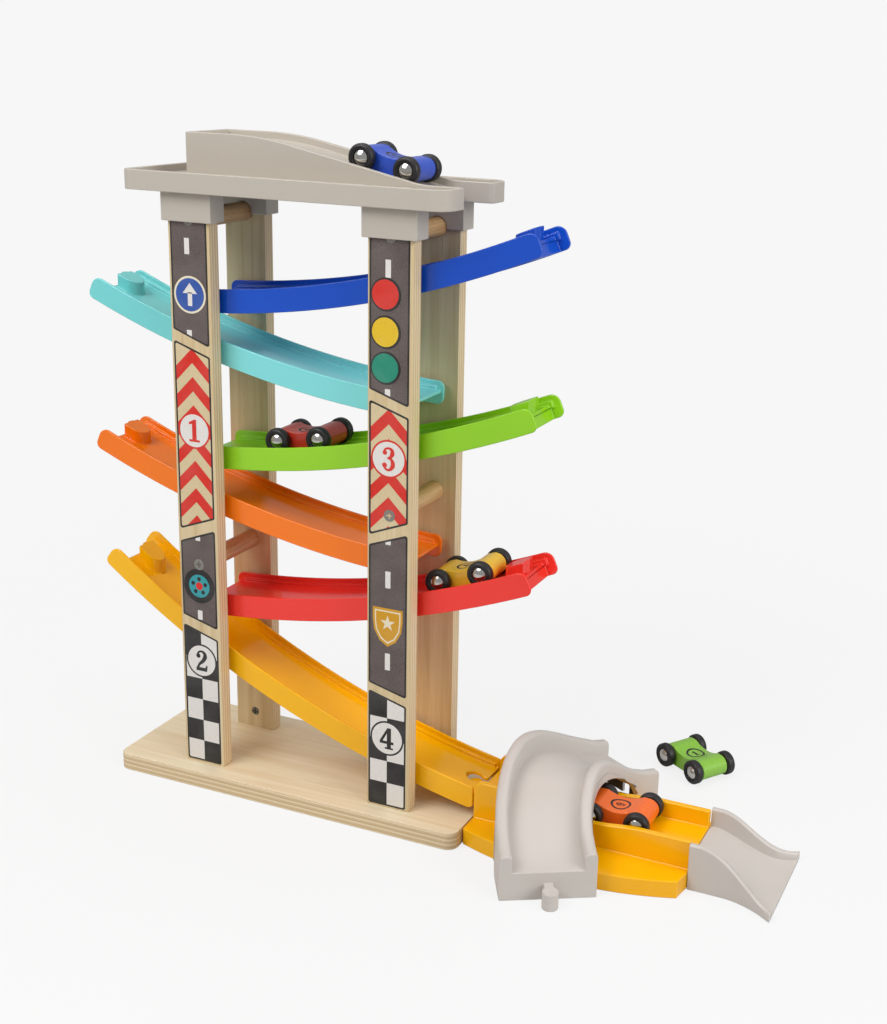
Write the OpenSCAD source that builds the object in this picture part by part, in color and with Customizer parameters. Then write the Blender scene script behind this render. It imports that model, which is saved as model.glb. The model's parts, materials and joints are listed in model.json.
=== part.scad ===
// Toy car ramp: six tracks zigzag down between four posts, from a starting deck to a tunnel.
// X runs along the base, Y away from the viewer and Z up. The origin is on the table, in the
// middle of the four posts.

/* [Base board] */
// Thickness of the board
base_t = 12; // [9:0.5:16]
// Reach of the board to the left of the tower's middle
base_left = 139; // [125:1:150]
// Reach of the board to the right
base_right = 131; // [128:0.5:133]
// Width of the board from front to back
base_w = 106; // [96:1:130]
// Radius of its corners
base_corner_r = 8; // [4:0.5:14]

/* [Posts] */
// Width of a post
post_w = 32; // [28:0.5:36]
// Thickness of a post
post_t = 10; // [9:0.5:12]
// Distance between the left and the right posts' middles
post_pitch = 148; // [146:0.5:152]
// Clear gap between the front and the back posts
post_gap = 56; // [54:0.5:62]

/* [Dowels and fasteners] */
// Radius of a dowel
dowel_r = 6.5; // [5:0.25:7.5]
// Depth of the upper dowels' axes below the deck's rim
dowel_top_drop = 17.5; // [15:0.5:21]
// Height of the lower left dowel's axis over the red track's peg
dowel_left_rise = 33.2; // [28:0.2:38]
// Height of the lower right dowel's axis over the orange track's peg
dowel_right_rise = 37.5; // [32:0.5:42]
// Radius of a screw's shank
screw_r = 1.6; // [1.2:0.1:2]
// Radius of a screw's head
screw_head_r = 4; // [3:0.1:4.5]
// Length of a screw
screw_l = 28; // [20:0.5:36]
// Radius of a foot bolt's shank
bolt_r = 2; // [1.5:0.1:2.5]
// Radius of a foot bolt's head
bolt_head_r = 4; // [3.5:0.1:5]
// Height of a foot bolt's head
bolt_head_h = 3.5; // [2.5:0.1:5]
// Radius of a barrel nut
nut_r = 3; // [2.8:0.1:3.5]
// Height of a barrel nut's axis over the board
nut_rise = 12.6; // [10:0.2:14]

/* [Cross tracks] */
// Radius of the top edge of a track's wall
track_r = 690; // [660:5:720]
// Height of a track's wall
wall_h = 16; // [14:0.5:18]
// Width of a track
track_w = 48; // [46:0.5:50]
// Height of the foot of the red track's wall at the tower's middle
red_run_z = 129.5; // [128:0.5:133]
// Rise from each cross track to the one over it
run_pitch = 53.7; // [50:0.1:55]
// Slope of a cross track at the tower's middle, in degrees
run_tilt = 9; // [7:0.1:10]
// Reach of a cross track's low end
run_low_x = 82; // [80:0.5:86]
// Reach of its high end
run_high_x = 169.2; // [165:0.2:172]
// Reach of the end of its floor
run_floor_x = 158; // [157.5:0.5:162]
// Reach of the back of its bump stop
run_bump_x = 155.9; // [155:0.1:156.5]
// Thickness of a wall's plate
plate_t = 2; // [1.6:0.1:2.4]
// Thickness of the ledge inside a wall
ledge_t = 2; // [1.4:0.1:2.4]
// Drop from a wall's top to its ledge
ledge_drop = 3.7; // [3:0.1:4.5]
// Drop from a wall's top to the floor
floor_drop = 6; // [5:0.1:7]
// Thickness of the floor
floor_t = 2.5; // [2:0.1:3]
// Height of a bump stop over the floor
bump_h = 8.5; // [7:0.1:11]
// Length of a bump stop
bump_l = 15; // [12:0.2:15]
// Width of a bump stop
bump_w = 16; // [12:0.2:18]
// Rounding of a wall's high end, at its top
high_top_r = 6.5; // [3:0.1:7]
// Rounding of a wall's high end, at its foot
high_foot_r = 4.5; // [3:0.1:7]
// Rounding of a wall's low end
low_r = 5; // [3:0.1:7]
// Radius of a peg
peg_r = 3.5; // [3:0.1:4]
// Reach of a peg into its post
peg_reach = 5; // [4:0.1:6]
// Radius of the collar round a peg
collar_r = 6; // [5:0.1:7]

/* [Yellow track] */
// Slope at the tower's middle, in degrees
exit_tilt = 21.3; // [20:0.1:22]
// Height of the foot of its wall at the tower's middle
exit_run_z = 54.3; // [53:0.1:57]
// Reach of its low end, to the right
exit_low_x = 131; // [129:0.2:131]
// Reach of its high end, to the left
exit_high_x = 166; // [162:0.5:170]
// Reach of the end of its floor
exit_floor_x = 151.5; // [150:0.5:155]
// Reach of the back of its bump stop
exit_bump_x = 147.5; // [145:0.5:148.5]

/* [Top deck] */
// Height of the rim's lower edge over the foot of the blue track's wall
deck_rise = 72.7; // [71:0.1:77]
// Height of the rim
rim_h = 13; // [11:0.5:15]
// Thickness of the rim and the ramp's walls
rim_t = 3.5; // [2:0.1:4]
// Depth of the trays below the rim
tray_depth = 5; // [4.5:0.1:6.5]
// Thickness of the trays' floor
tray_t = 3; // [2:0.1:4]
// Reach of the deck to the left
deck_left = 119; // [110:1:125]
// Reach of its lobes to the right
deck_right = 116; // [114:0.5:120]
// Width of the deck
deck_w = 94; // [90:1:110]
// Depth of the slot between the lobes
slot_l = 23; // [20:0.5:26]
// Radius of a lobe's outer corner
lobe_r = 13; // [10:0.5:16]
// Radius of a lobe's inner corner
lobe_in_r = 4.5; // [4.2:0.1:6]
// Radius of the left corners
deck_corner_r = 6; // [3:0.5:10]
// Reach of the ramp's back wall to the left
ramp_left = 84; // [80:1:92]
// Height of the ramp's wall over the rim at its back
ramp_rise = 24; // [20:0.5:28]
// Slope of the ramp, in degrees
ramp_tilt = 11.7; // [11:0.1:12.2]
// Place of the top of the ramp's slope, left of the middle
ramp_break_x = 29; // [27:0.5:34]
// Drop from the ramp's wall to its floor
ramp_wall_h = 5; // [4:0.1:7]
// Thickness of the ramp's floor
ramp_floor_t = 2.5; // [2:0.1:4]
// Height of a cap over a post
cap_h = 19; // [16:0.5:22]
// Thickness of a cap's wall
cap_wall = 2.9; // [2:0.1:3.2]

/* [Tunnel track] */
// Length of the tunnel track
tunnel_l = 151.5; // [145:0.5:160]
// Height of the floor past the slope
tunnel_floor_z = 20; // [18:0.2:20]
// Thickness of a wall
tunnel_wall = 4.5; // [3.5:0.1:5]
// Height of the wall's top at the start
tunnel_start_z = 38.5; // [37:0.1:38.8]
// Height of the wall's top at its dip
tunnel_dip_z = 28.6; // [27:0.2:32]
// Height of the wall's top at the end
tunnel_end_z = 31.5; // [29:0.2:33]
// Height of the plinth
plinth_h = 12; // [10:0.5:13]
// Width of the plinth at its middle
plinth_w = 110; // [100:1:116]
// Radius of the plinth's sides
plinth_r = 205; // [190:5:240]
// Thickness of the plinth's shell
shell_t = 2.5; // [2:0.1:3]

/* [Bridge] */
// Distance from the plinth's middle to the middle of the road's bend
bridge_set = 95; // [92:0.5:98]
// Radius of the road's middle line in plan
bridge_r = 120.4; // [119:0.2:123]
// Angle that each end turns from the middle
bridge_turn = 30; // [27:0.5:32]
// Length of the straight road at each end
bridge_stub = 20; // [16:0.5:26]
// Width over the walls
bridge_w = 62; // [58:0.5:64]
// Thickness of a wall
parapet_t = 8; // [6:0.2:9]
// Height of a wall over the road's ends
parapet_h = 11; // [8:0.2:14]
// How much higher over the road the outer wall is at the crown
outer_gain = 3.5; // [2:0.1:4.5]
// How much lower over the road the inner wall is at the crown
inner_loss = 4; // [2:0.1:4.4]
// Height of the road at its ends
road_end_z = 19.2; // [17:0.2:22]
// Height of the bridge
bridge_h = 64.5; // [63:0.5:68]
// Half the width of the arch
arch_half_w = 45.5; // [43:0.5:46.5]
// Height of the arch's crown over the plinth
arch_h = 31; // [30.6:0.1:33]
// Width of the ring of bricks round the arch
ring_w = 5.5; // [3.5:0.1:6]
// How far the ring stands out of the wall
ring_out = 0.8; // [0.4:0.1:1.5]

/* [Connectors] */
// Radius of a connector's head
knob_r = 5.25; // [4.5:0.05:6]
// Width of its neck
neck_w = 6; // [4.5:0.1:7]
// Height of a connector
knob_h = 11.5; // [9:0.1:11.8]
// Distance from an end face to the head's middle
knob_out = 9.3; // [8:0.1:10]

/* [Exit ramp] */
// Length of the exit ramp
exit_l = 57; // [50:1:70]
// Width at its start
exit_w = 56; // [52:0.5:58]
// Width at its tip
exit_tip_w = 85; // [70:1:90]
// Height of its wall at the start
exit_wall_z = 32; // [28:0.5:34]
// Height of its floor at the start
exit_floor_z = 19.5; // [17.5:0.1:20]
// Height of its wall at the tip
exit_tip_z = 6; // [4:0.1:7]
// Thickness of its walls
exit_wall_t = 4.5; // [3:0.1:5]

/* [Cars] */
// Distance between a car's axles
wheelbase = 32; // [30:0.2:33]
// Radius of a wheel
wheel_r = 8.75; // [8.4:0.05:9]
// Width of a wheel
wheel_w = 6.4; // [5:0.1:6.6]
// Width over the wheels
car_w = 36.4; // [34:0.1:37]
// Width of a body
body_w = 22.4; // [18:0.1:23]
// Radius of a body's round ends
body_r = 7.3; // [6:0.1:7.6]
// Depth of the waist in a body's top
waist_drop = 3.2; // [1:0.1:4]
// Radius of an axle
axle_r = 1.5; // [1.2:0.1:2]
// Radius of a hub cap
hub_r = 5.5; // [4:0.1:5.8]

/* [Hidden] */

// Number of facets of long arcs, round parts and blends
arc_fn = 360;
round_fn = 64;
blend_n = 12;
// How far a cut runs past what it cuts
over = 1;
// Gaps between pieces: a part that moves, a seat, a shaft in its bore and a pressed shaft
lift_gap = 0.3;
seat_gap = 0.15;
run_gap = 0.06;
press_gap = 0.02;

// Cross tracks, and the height of the foot of the top one's wall
cross_count = 5;
top_run_z = red_run_z + (cross_count - 1) * run_pitch;
deck_z = top_run_z + deck_rise;
post_top_z = deck_z + rim_h - tray_depth - tray_t;
wall_foot_r = track_r + wall_h;
floor_r = track_r + floor_drop;
post_y = post_gap / 2 + post_t / 2;

// A shape of the X-Z plane, drawn as X and Y, stretched from one Y to another
module along_y(y0, y1) {
  translate([0, y1, 0]) rotate([90, 0, 0]) linear_extrude(height = y1 - y0) children();
}

// A stretch of a ring round the origin; angles count from straight down towards +X
module arc_band(r_in, r_out, a0, a1) {
  far = 2 * r_out;
  intersection() {
    difference() {
      circle(r = r_out, $fn = arc_fn);
      circle(r = r_in, $fn = arc_fn);
    }
    polygon([[0, 0], far * [sin(a0), -cos(a0)], far * [sin((a0 + a1) / 2), -cos((a0 + a1) / 2)],
      far * [sin(a1), -cos(a1)]]);
  }
}

// A round corner of a wall plate: a disc of radius r whose middle is r inside an end
module corner_disc(mid_r, a_end, r, side) {
  a = a_end + side * asin(r / mid_r);
  translate(mid_r * [sin(a), -cos(a)]) circle(r = r, $fn = round_fn);
}

// The outline of a wall plate with its four round corners
module wall_outline(a_low, a_high) {
  mid = (track_r + wall_foot_r) / 2;
  low_in = asin(low_r / track_r);
  top_in = asin(high_top_r / track_r);
  foot_in = asin(high_foot_r / track_r);
  arc_band(track_r, mid, a_low + low_in, a_high - top_in);
  arc_band(mid, wall_foot_r, a_low + low_in, a_high - foot_in);
  arc_band(track_r + low_r, wall_foot_r - low_r, a_low, (a_low + a_high) / 2);
  arc_band(track_r + high_top_r, wall_foot_r - high_foot_r, (a_low + a_high) / 2, a_high);
  corner_disc(track_r + low_r, a_low, low_r, 1);
  corner_disc(wall_foot_r - low_r, a_low, low_r, 1);
  corner_disc(track_r + high_top_r, a_high, high_top_r, -1);
  corner_disc(wall_foot_r - high_foot_r, a_high, high_foot_r, -1);
}

// Middle of a track's arcs, for a track that is high on the right
function arc_middle(tilt, foot_z) =
  [-wall_foot_r * sin(tilt), foot_z + wall_foot_r * cos(tilt)];
// Angle on the arcs at a place along X
function arc_angle(x, tilt, r) = asin((x + wall_foot_r * sin(tilt)) / r);
// Height of a track's middle line at a place along X
function peg_z(x, tilt, foot_z) =
  let(mid = track_r + wall_h / 2)
  arc_middle(tilt, foot_z)[1] - mid * cos(arc_angle(x, tilt, mid));

// How far inside a wall plate's end its ledge stops
ledge_inset = 5;
web_t = floor_t;

// One track, high on the right
module track(tilt, foot_z, low_x, high_x, floor_x, bump_x) {
  mid = arc_middle(tilt, foot_z);
  a_low = arc_angle(-low_x, tilt, wall_foot_r);
  a_high = arc_angle(high_x, tilt, wall_foot_r);
  a_inset = asin(ledge_inset / floor_r);
  a_floor = arc_angle(floor_x, tilt, floor_r);
  a_web = a_floor - asin(web_t / floor_r);
  inner_y = track_w / 2 - plate_t;
  translate([mid[0], 0, mid[1]]) {
    for (side = [0, 1]) mirror([0, side, 0]) {
      along_y(inner_y, track_w / 2) wall_outline(a_low, a_high);
      along_y(inner_y - ledge_t, inner_y)
        arc_band(track_r + ledge_drop, floor_r + floor_t, a_low + a_inset, a_high - a_inset);
    }
    along_y(-inner_y, inner_y)
      arc_band(floor_r, floor_r + floor_t, a_low + a_inset / 2, a_floor);
    along_y(-inner_y, inner_y) arc_band(floor_r, wall_foot_r, a_web, a_floor);
  }
  bump_stop(mid, bump_x);
  for (x = [-post_pitch / 2, post_pitch / 2], side = [0, 1])
    mirror([0, side, 0]) translate([x, 0, peg_z(x, tilt, foot_z)]) peg();
}

// The block that stops a car at a track's high end: round in front, with its top along the arc
module bump_stop(mid, back_x) {
  half = bump_w / 2;
  intersection() {
    translate([mid[0], 0, mid[1]]) along_y(-half, half)
      arc_band(floor_r - bump_h, floor_r + floor_t / 2, 0, asin((back_x + bump_w - mid[0]) / track_r));
    translate([0, 0, mid[1] - wall_foot_r]) linear_extrude(height = wall_foot_r) {
      translate([back_x - bump_l + half, 0]) circle(r = half, $fn = round_fn);
      translate([back_x - bump_l + half, -half]) square([bump_l - half, bump_w]);
    }
  }
}

// A peg and the collar that keeps the track off its post
module peg() {
  rotate([-90, 0, 0]) {
    translate([0, 0, track_w / 2 - plate_t])
      cylinder(r = collar_r, h = (post_gap - track_w) / 2 + plate_t - seat_gap, $fn = round_fn);
    translate([0, 0, track_w / 2 - plate_t])
      cylinder(r = peg_r, h = (post_gap - track_w) / 2 + plate_t + peg_reach, $fn = round_fn);
  }
}

// Cross track number i from the top; odd ones are high on the left
module cross_track(i) {
  mirror([i % 2, 0, 0])
    track(run_tilt, top_run_z - i * run_pitch, run_low_x, run_high_x, run_floor_x, run_bump_x);
}

module blue_track() { color("#1C4DB8") cross_track(0); }
module teal_track() { color("#7DD6D6") cross_track(1); }
module green_track() { color("#8DC926") cross_track(2); }
module orange_track() { color("#FF7F0A") cross_track(3); }
module red_track() { color("#F83A2F") cross_track(4); }

// The last track, cut upright at its low end, with the slot for the tunnel track's connector
module yellow_track() {
  color("#FFC000") difference() {
    mirror([1, 0, 0])
      track(exit_tilt, exit_run_z, exit_low_x, exit_high_x, exit_floor_x, exit_bump_x);
    translate([exit_low_x, 0, base_t]) keyhole(track_w);
    translate([exit_low_x, -track_w, base_t]) cube([track_w, 2 * track_w, 2 * track_w]);
  }
}

// Heights of a left post's pegs, from the top track down; a right post's with side = 1
function post_peg_heights(side) = concat(
  [for (i = [0 : cross_count - 1])
    peg_z((i % 2 == side ? -1 : 1) * post_pitch / 2, run_tilt, top_run_z - i * run_pitch)],
  [peg_z((side == 0 ? 1 : -1) * post_pitch / 2, exit_tilt, exit_run_z)]);

peg_room = 0.4;
nut_room = 0.1;
nut_l = post_t - over;
countersink_h = screw_head_r - screw_r;

// A front post with its holes; side 0 is the left one and 1 the right one
module post(side) {
  x = (side == 0 ? -1 : 1) * post_pitch / 2;
  difference() {
    translate([x - post_w / 2, -post_y - post_t / 2, base_t])
      cube([post_w, post_t, post_top_z - base_t]);
    for (z = post_peg_heights(side)) translate([x, -post_gap / 2 - peg_reach - peg_room, z])
      rotate([-90, 0, 0])
        cylinder(r = peg_r + seat_gap, h = peg_reach + peg_room + over, $fn = round_fn);
    for (z = dowel_heights(side)) translate([x, -post_y - post_t / 2, z])
      rotate([-90, 0, 0]) screw_solid(press_gap, over);
    translate([x, -post_gap / 2 + over, base_t + nut_rise]) rotate([90, 0, 0])
      cylinder(r = nut_r + nut_room, h = nut_l + over, $fn = round_fn);
    translate([x, -post_y, base_t - over])
      cylinder(r = bolt_r + nut_room, h = bolt_top_z - base_t + 2 * over, $fn = round_fn);
  }
}

module front_left_post() { color("#D8C29A") post(0); }
module front_right_post() { color("#D8C29A") post(1); }
module back_left_post() { color("#D8C29A") mirror([0, 1, 0]) post(0); }
module back_right_post() { color("#D8C29A") mirror([0, 1, 0]) post(1); }

// Heights of the dowels behind a left or a right post
function dowel_heights(side) = [
  post_peg_heights(side)[cross_count - 1 - side] + (side == 0 ? dowel_left_rise : dowel_right_rise),
  deck_z - dowel_top_drop];

// A dowel between the front and the back post, with pilot holes in its ends
module dowel(x, z) {
  color("#CFA876") difference() {
    translate([x, post_gap / 2, z]) rotate([90, 0, 0])
      cylinder(r = dowel_r, h = post_gap, $fn = round_fn);
    for (side = [0, 1]) mirror([0, side, 0]) translate([x, -post_y - post_t / 2, z])
      rotate([-90, 0, 0]) screw_solid(press_gap, over);
  }
}

module upper_left_dowel() { dowel(-post_pitch / 2, dowel_heights(0)[1]); }
module upper_right_dowel() { dowel(post_pitch / 2, dowel_heights(1)[1]); }
module lower_left_dowel() { dowel(-post_pitch / 2, dowel_heights(0)[0]); }
module lower_right_dowel() { dowel(post_pitch / 2, dowel_heights(1)[0]); }

// A countersunk screw from its head's face at zero, or the hole for it with room round it
module screw_solid(room, past) {
  cylinder(r = screw_r + room, h = screw_l + room, $fn = round_fn);
  cylinder(r1 = screw_head_r + room, r2 = screw_r + room, h = countersink_h + room, $fn = round_fn);
  if (past > 0) translate([0, 0, -past]) cylinder(r = screw_head_r + room, h = past, $fn = round_fn);
}

cross_w = 0.9;
cross_l = 4.4;
cross_h = 1.2;

// The cross recess in a screw's or a nut's face
module cross_recess() {
  for (turn = [0, 90]) rotate([0, 0, turn])
    translate([-cross_l / 2, -cross_w / 2, -over]) cube([cross_l, cross_w, cross_h + over]);
}

// Two screws into each dowel, from the posts' outer faces
module dowel_screws() {
  color("#C9C6C0")
    for (side = [0, 1], z_i = [0, 1], back = [0, 1]) mirror([0, back, 0])
      let(x = (side == 0 ? -1 : 1) * post_pitch / 2)
      translate([x, -post_y - post_t / 2, dowel_heights(side)[z_i]]) rotate([-90, 0, 0])
        difference() {
          screw_solid(0, 0);
          cross_recess();
        }
}

bolt_past_nut = 3;
bolt_top_z = base_t + nut_rise + nut_r + bolt_past_nut;
bolt_seat_z = 4;
hex_depth = 2;
hex_r = 2;

// One bolt up through the board into each post
module foot_bolts() {
  color("#8F8C88")
    for (x = [-post_pitch / 2, post_pitch / 2], y = [-post_y, post_y]) translate([x, y, 0])
      difference() {
        union() {
          translate([0, 0, bolt_seat_z - bolt_head_h])
            cylinder(r = bolt_head_r, h = bolt_head_h, $fn = round_fn);
          translate([0, 0, bolt_seat_z - bolt_head_h / 2])
            cylinder(r = bolt_r, h = bolt_top_z - bolt_seat_z + bolt_head_h / 2, $fn = round_fn);
        }
        translate([0, 0, bolt_seat_z - bolt_head_h - over])
          cylinder(r = hex_r, h = hex_depth + over, $fn = 6);
      }
}

// A cross nut in each post, with its recessed end at the inner face
module barrel_nuts() {
  color("#3A3734")
    for (x = [-post_pitch / 2, post_pitch / 2], back = [0, 1]) mirror([0, back, 0])
      difference() {
        translate([x, -post_gap / 2 - press_gap, base_t + nut_rise]) rotate([90, 0, 0]) difference() {
          cylinder(r = nut_r, h = nut_l - nut_room, $fn = round_fn);
          cross_recess();
        }
        translate([x, -post_y, base_t])
          cylinder(r = bolt_r + press_gap, h = bolt_top_z, $fn = round_fn);
      }
}

bolt_room = 0.3;

// The plywood board with the holes and seats of its foot bolts
module base_board() {
  color("#DCC8A0") difference() {
    linear_extrude(height = base_t) {
      translate([-base_left + base_corner_r, -base_w / 2])
        square([base_left + base_right - 2 * base_corner_r, base_w]);
      translate([-base_left, -base_w / 2 + base_corner_r])
        square([base_left + base_right, base_w - 2 * base_corner_r]);
      for (x = [-base_left + base_corner_r, base_right - base_corner_r],
          y = [-base_w / 2 + base_corner_r, base_w / 2 - base_corner_r])
        translate([x, y]) circle(r = base_corner_r, $fn = round_fn);
    }
    for (x = [-post_pitch / 2, post_pitch / 2], y = [-post_y, post_y]) translate([x, y, -over]) {
      cylinder(r = bolt_r + bolt_room, h = base_t + 2 * over, $fn = round_fn);
      cylinder(r = bolt_head_r + bolt_room, h = bolt_seat_z + over, $fn = round_fn);
    }
  }
}

// Where the ramp's floor stops, and the radii of the bends at the ends of its slope
ramp_end_x = deck_right - slot_l;
crest_r = 220;
foot_bend_r = 60;
ramp_top_z = deck_z + rim_h + ramp_rise;
rim_top_z = deck_z + rim_h;
ramp_half_w = track_w / 2;

// Place where the ramp's slope meets the rim's height
ramp_foot_x = -ramp_break_x + ramp_rise / tan(ramp_tilt);

// Where the bend at the ramp's top starts, and where the one at its foot ends
crest_x = -ramp_break_x - crest_r * tan(ramp_tilt / 2);
foot_x = ramp_foot_x + foot_bend_r * tan(ramp_tilt / 2);
ramp_steps = 56;

// How far the ramp has dropped at a place along X
function ramp_drop(x) = x < crest_x ? 0
  : x < crest_x + crest_r * sin(ramp_tilt) ? crest_r * (1 - cos(asin((x - crest_x) / crest_r)))
  : x < foot_x - foot_bend_r * sin(ramp_tilt) ? (x + ramp_break_x) * tan(ramp_tilt)
  : x < foot_x ? ramp_rise - foot_bend_r * (1 - cos(asin((foot_x - x) / foot_bend_r)))
  : ramp_rise;

// The line of the ramp's wall tops as far as x_end, lowered by d
function ramp_line(d, x_end) = [for (i = [0 : ramp_steps])
  let(x = (x_end + ramp_left) * i / ramp_steps - ramp_left) [x, ramp_top_z - d - ramp_drop(x)]];

// Where a lobe's inner side lies
lobe_in_y = ramp_half_w - rim_t;
lobe_in_end_x = deck_right - lobe_in_r;

// One of the two lobes beside the ramp's end, drawn in by d
module lobe(d) {
  outer_y = deck_w / 2 - lobe_r;
  translate([deck_right - lobe_r, outer_y]) circle(r = lobe_r - d, $fn = round_fn);
  translate([lobe_in_end_x, lobe_in_y + lobe_in_r]) circle(r = lobe_in_r - d, $fn = round_fn);
  translate([0, lobe_in_y + d]) square([lobe_in_end_x, outer_y - lobe_in_y - d]);
  translate([0, lobe_in_y + lobe_in_r]) square([deck_right - d, outer_y - lobe_in_y - lobe_in_r]);
  translate([0, outer_y]) square([deck_right - lobe_r, lobe_r - d]);
}

// The deck's outline, drawn in by d
module deck_outline(d) {
  half = deck_w / 2 - d;
  difference() {
    union() {
      translate([-deck_left + d + deck_corner_r, -half])
        square([deck_left - d - deck_corner_r + ramp_end_x, 2 * half]);
      translate([-deck_left + d, -half + deck_corner_r])
        square([deck_left, 2 * (half - deck_corner_r)]);
      for (side = [-1, 1]) {
        translate([-deck_left + d + deck_corner_r, side * (half - deck_corner_r)])
          circle(r = deck_corner_r, $fn = round_fn);
      }
      for (side = [0, 1]) mirror([0, side, 0]) lobe(d);
    }
    translate([ramp_end_x - d, -lobe_in_y - d]) square([deck_right, 2 * (lobe_in_y + d)]);
  }
}

rib_t = 2;
rib_shares = [-0.45, 0.05, 0.4];
cap_fit = 0.3;
cap_side = 3.2;

// The cap over a post's top, as a solid or as the room inside it
module cap_block(extra_x, extra_y, z0, z1) {
  translate([-post_w / 2 - extra_x, -post_t / 2 - extra_y, z0])
    cube([post_w + 2 * extra_x, post_t + 2 * extra_y, z1 - z0]);
}

// The starting deck: trays in front and behind, a ramp between, and a cap over each post
module top_deck() {
  color("#BFB7AB") difference() {
    union() {
      translate([0, 0, deck_z]) linear_extrude(height = rim_h) difference() {
        deck_outline(0);
        deck_outline(rim_t);
      }
      translate([0, 0, post_top_z]) linear_extrude(height = tray_t) deck_outline(rim_t / 2);
      along_y(-ramp_half_w, ramp_half_w)
        polygon(concat(ramp_line(0, ramp_end_x), [[ramp_end_x, post_top_z], [-ramp_left, post_top_z]]));
      for (side = [-1, 1]) translate([0, side * (ramp_half_w - rim_t / 2), 0])
        along_y(-rim_t / 2, rim_t / 2)
          polygon(concat(ramp_line(0, lobe_in_end_x),
            [[lobe_in_end_x, deck_z], [-ramp_left, post_top_z]]));
      for (x = [-post_pitch / 2, post_pitch / 2], y = [-post_y, post_y]) translate([x, y, 0])
        cap_block(cap_side, cap_wall, deck_z - cap_h, post_top_z + tray_t / 2);
      for (share = rib_shares, side = [0, 1]) mirror([0, side, 0])
        translate([share * deck_left - rib_t / 2, ramp_half_w - rim_t, deck_z + rib_t])
          cube([rib_t, deck_w / 2 - ramp_half_w + rim_t / 2, post_top_z - deck_z]);
    }
    along_y(-ramp_half_w + rim_t, ramp_half_w - rim_t)
      intersection() {
        polygon(concat(ramp_line(ramp_wall_h, deck_right),
          [[deck_right, ramp_top_z + over], [-ramp_left, ramp_top_z + over]]));
        translate([-ramp_left + rim_t, post_top_z])
          square([ramp_left + deck_right, ramp_top_z + over - post_top_z]);
      }
    hollow_under_ramp();
    for (x = [-post_pitch / 2, post_pitch / 2], back = [0, 1]) mirror([0, back, 0])
      translate([x, -post_y, 0]) {
        cap_block(cap_fit, cap_fit, deck_z - cap_h - over, post_top_z);
        dowel_notch();
      }
  }
}

// The room under the ramp's floor, open below
module hollow_under_ramp() {
  drop = ramp_wall_h + ramp_floor_t;
  along_y(-ramp_half_w + rim_t, ramp_half_w - rim_t) intersection() {
    polygon(concat(ramp_line(drop, deck_right),
      [[deck_right, deck_z - over], [-ramp_left, deck_z - over]]));
    translate([-ramp_left + rim_t, deck_z - over])
      square([ramp_left + ramp_end_x - 2 * rim_t, ramp_top_z - deck_z]);
  }
}

// The notch in a cap's inner wall for the upper dowel
module dowel_notch() {
  r = dowel_r + cap_fit;
  depth = post_t / 2 + cap_wall + over;
  translate([0, 0, deck_z - dowel_top_drop]) rotate([-90, 0, 0])
    cylinder(r = r, h = depth, $fn = round_fn);
  translate([-r, 0, deck_z - cap_h - over]) cube([2 * r, depth, cap_h - dowel_top_drop + over]);
}

// A connector's head and neck in plan; the end face is at zero and the head lies towards -X
module knob_outline(room) {
  translate([-knob_out, 0]) circle(r = knob_r + room, $fn = round_fn);
  translate([-knob_out, -neck_w / 2 - room]) square([knob_out + over, neck_w + 2 * room]);
}

// The slot that takes a connector
module keyhole(h) {
  linear_extrude(height = h) knob_outline(key_room);
}
key_room = 0.4;

tunnel_x = exit_low_x + key_room + seat_gap * 2;
tunnel_end_x = tunnel_x + tunnel_l;
plinth_mid_x = (tunnel_x + tunnel_end_x) / 2;
// Slope of the yellow track's floor where the tunnel track takes it up
join_a = arc_angle(-exit_low_x, exit_tilt, floor_r);
join_z = arc_middle(exit_tilt, exit_run_z)[1] - floor_r * cos(join_a);
// The bend that levels the tunnel track's floor
level_r = (join_z - tunnel_floor_z) / (1 - cos(join_a));
level_x = tunnel_x + level_r * sin(join_a);
tunnel_knob_drop = 2;
tunnel_knob_z = join_z - tunnel_knob_drop;

// A smooth step from 0 to 1
function ease(t) = (1 - cos(180 * max(0, min(1, t)))) / 2;

// Shares of the tunnel track's length where its wall's top starts to fall, dips and rises again
wall_fall_share = 0.04;
wall_dip_share = 0.555;
wall_rise_share = 0.78;
wall_points = 40;

function tunnel_wall_z(share) = share < wall_dip_share
  ? tunnel_start_z - (tunnel_start_z - tunnel_dip_z)
    * ease((share - wall_fall_share) / (wall_dip_share - wall_fall_share))
  : tunnel_dip_z + (tunnel_end_z - tunnel_dip_z)
    * ease((share - wall_dip_share) / (wall_rise_share - wall_dip_share));

wall_start_r = 6;

// The tunnel track's wall seen from the front
module tunnel_wall_side() {
  difference() {
    polygon(concat([[tunnel_x, plinth_h - shell_t]],
      [for (i = [0 : wall_points]) let(share = i / wall_points)
        [tunnel_x + tunnel_l * share, tunnel_wall_z(share)]],
      [[tunnel_end_x, plinth_h - shell_t]]));
    translate([tunnel_x, tunnel_start_z - wall_start_r]) difference() {
      translate([-over, 0]) square([wall_start_r + over, wall_start_r + over]);
      translate([wall_start_r, 0]) circle(r = wall_start_r, $fn = round_fn);
    }
  }
}

// Points of the tunnel track's floor, dropped by d
function tunnel_floor_line(d) = concat(
  [for (i = [0 : blend_n]) let(a = join_a * (1 - i / blend_n))
    [level_x - level_r * sin(a), tunnel_floor_z - d + level_r * (1 - cos(a))]],
  [[tunnel_end_x, tunnel_floor_z - d]]);

plinth_end_w = 78;
plinth_tip_w = 56;
plinth_tip_l = 2;

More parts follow.
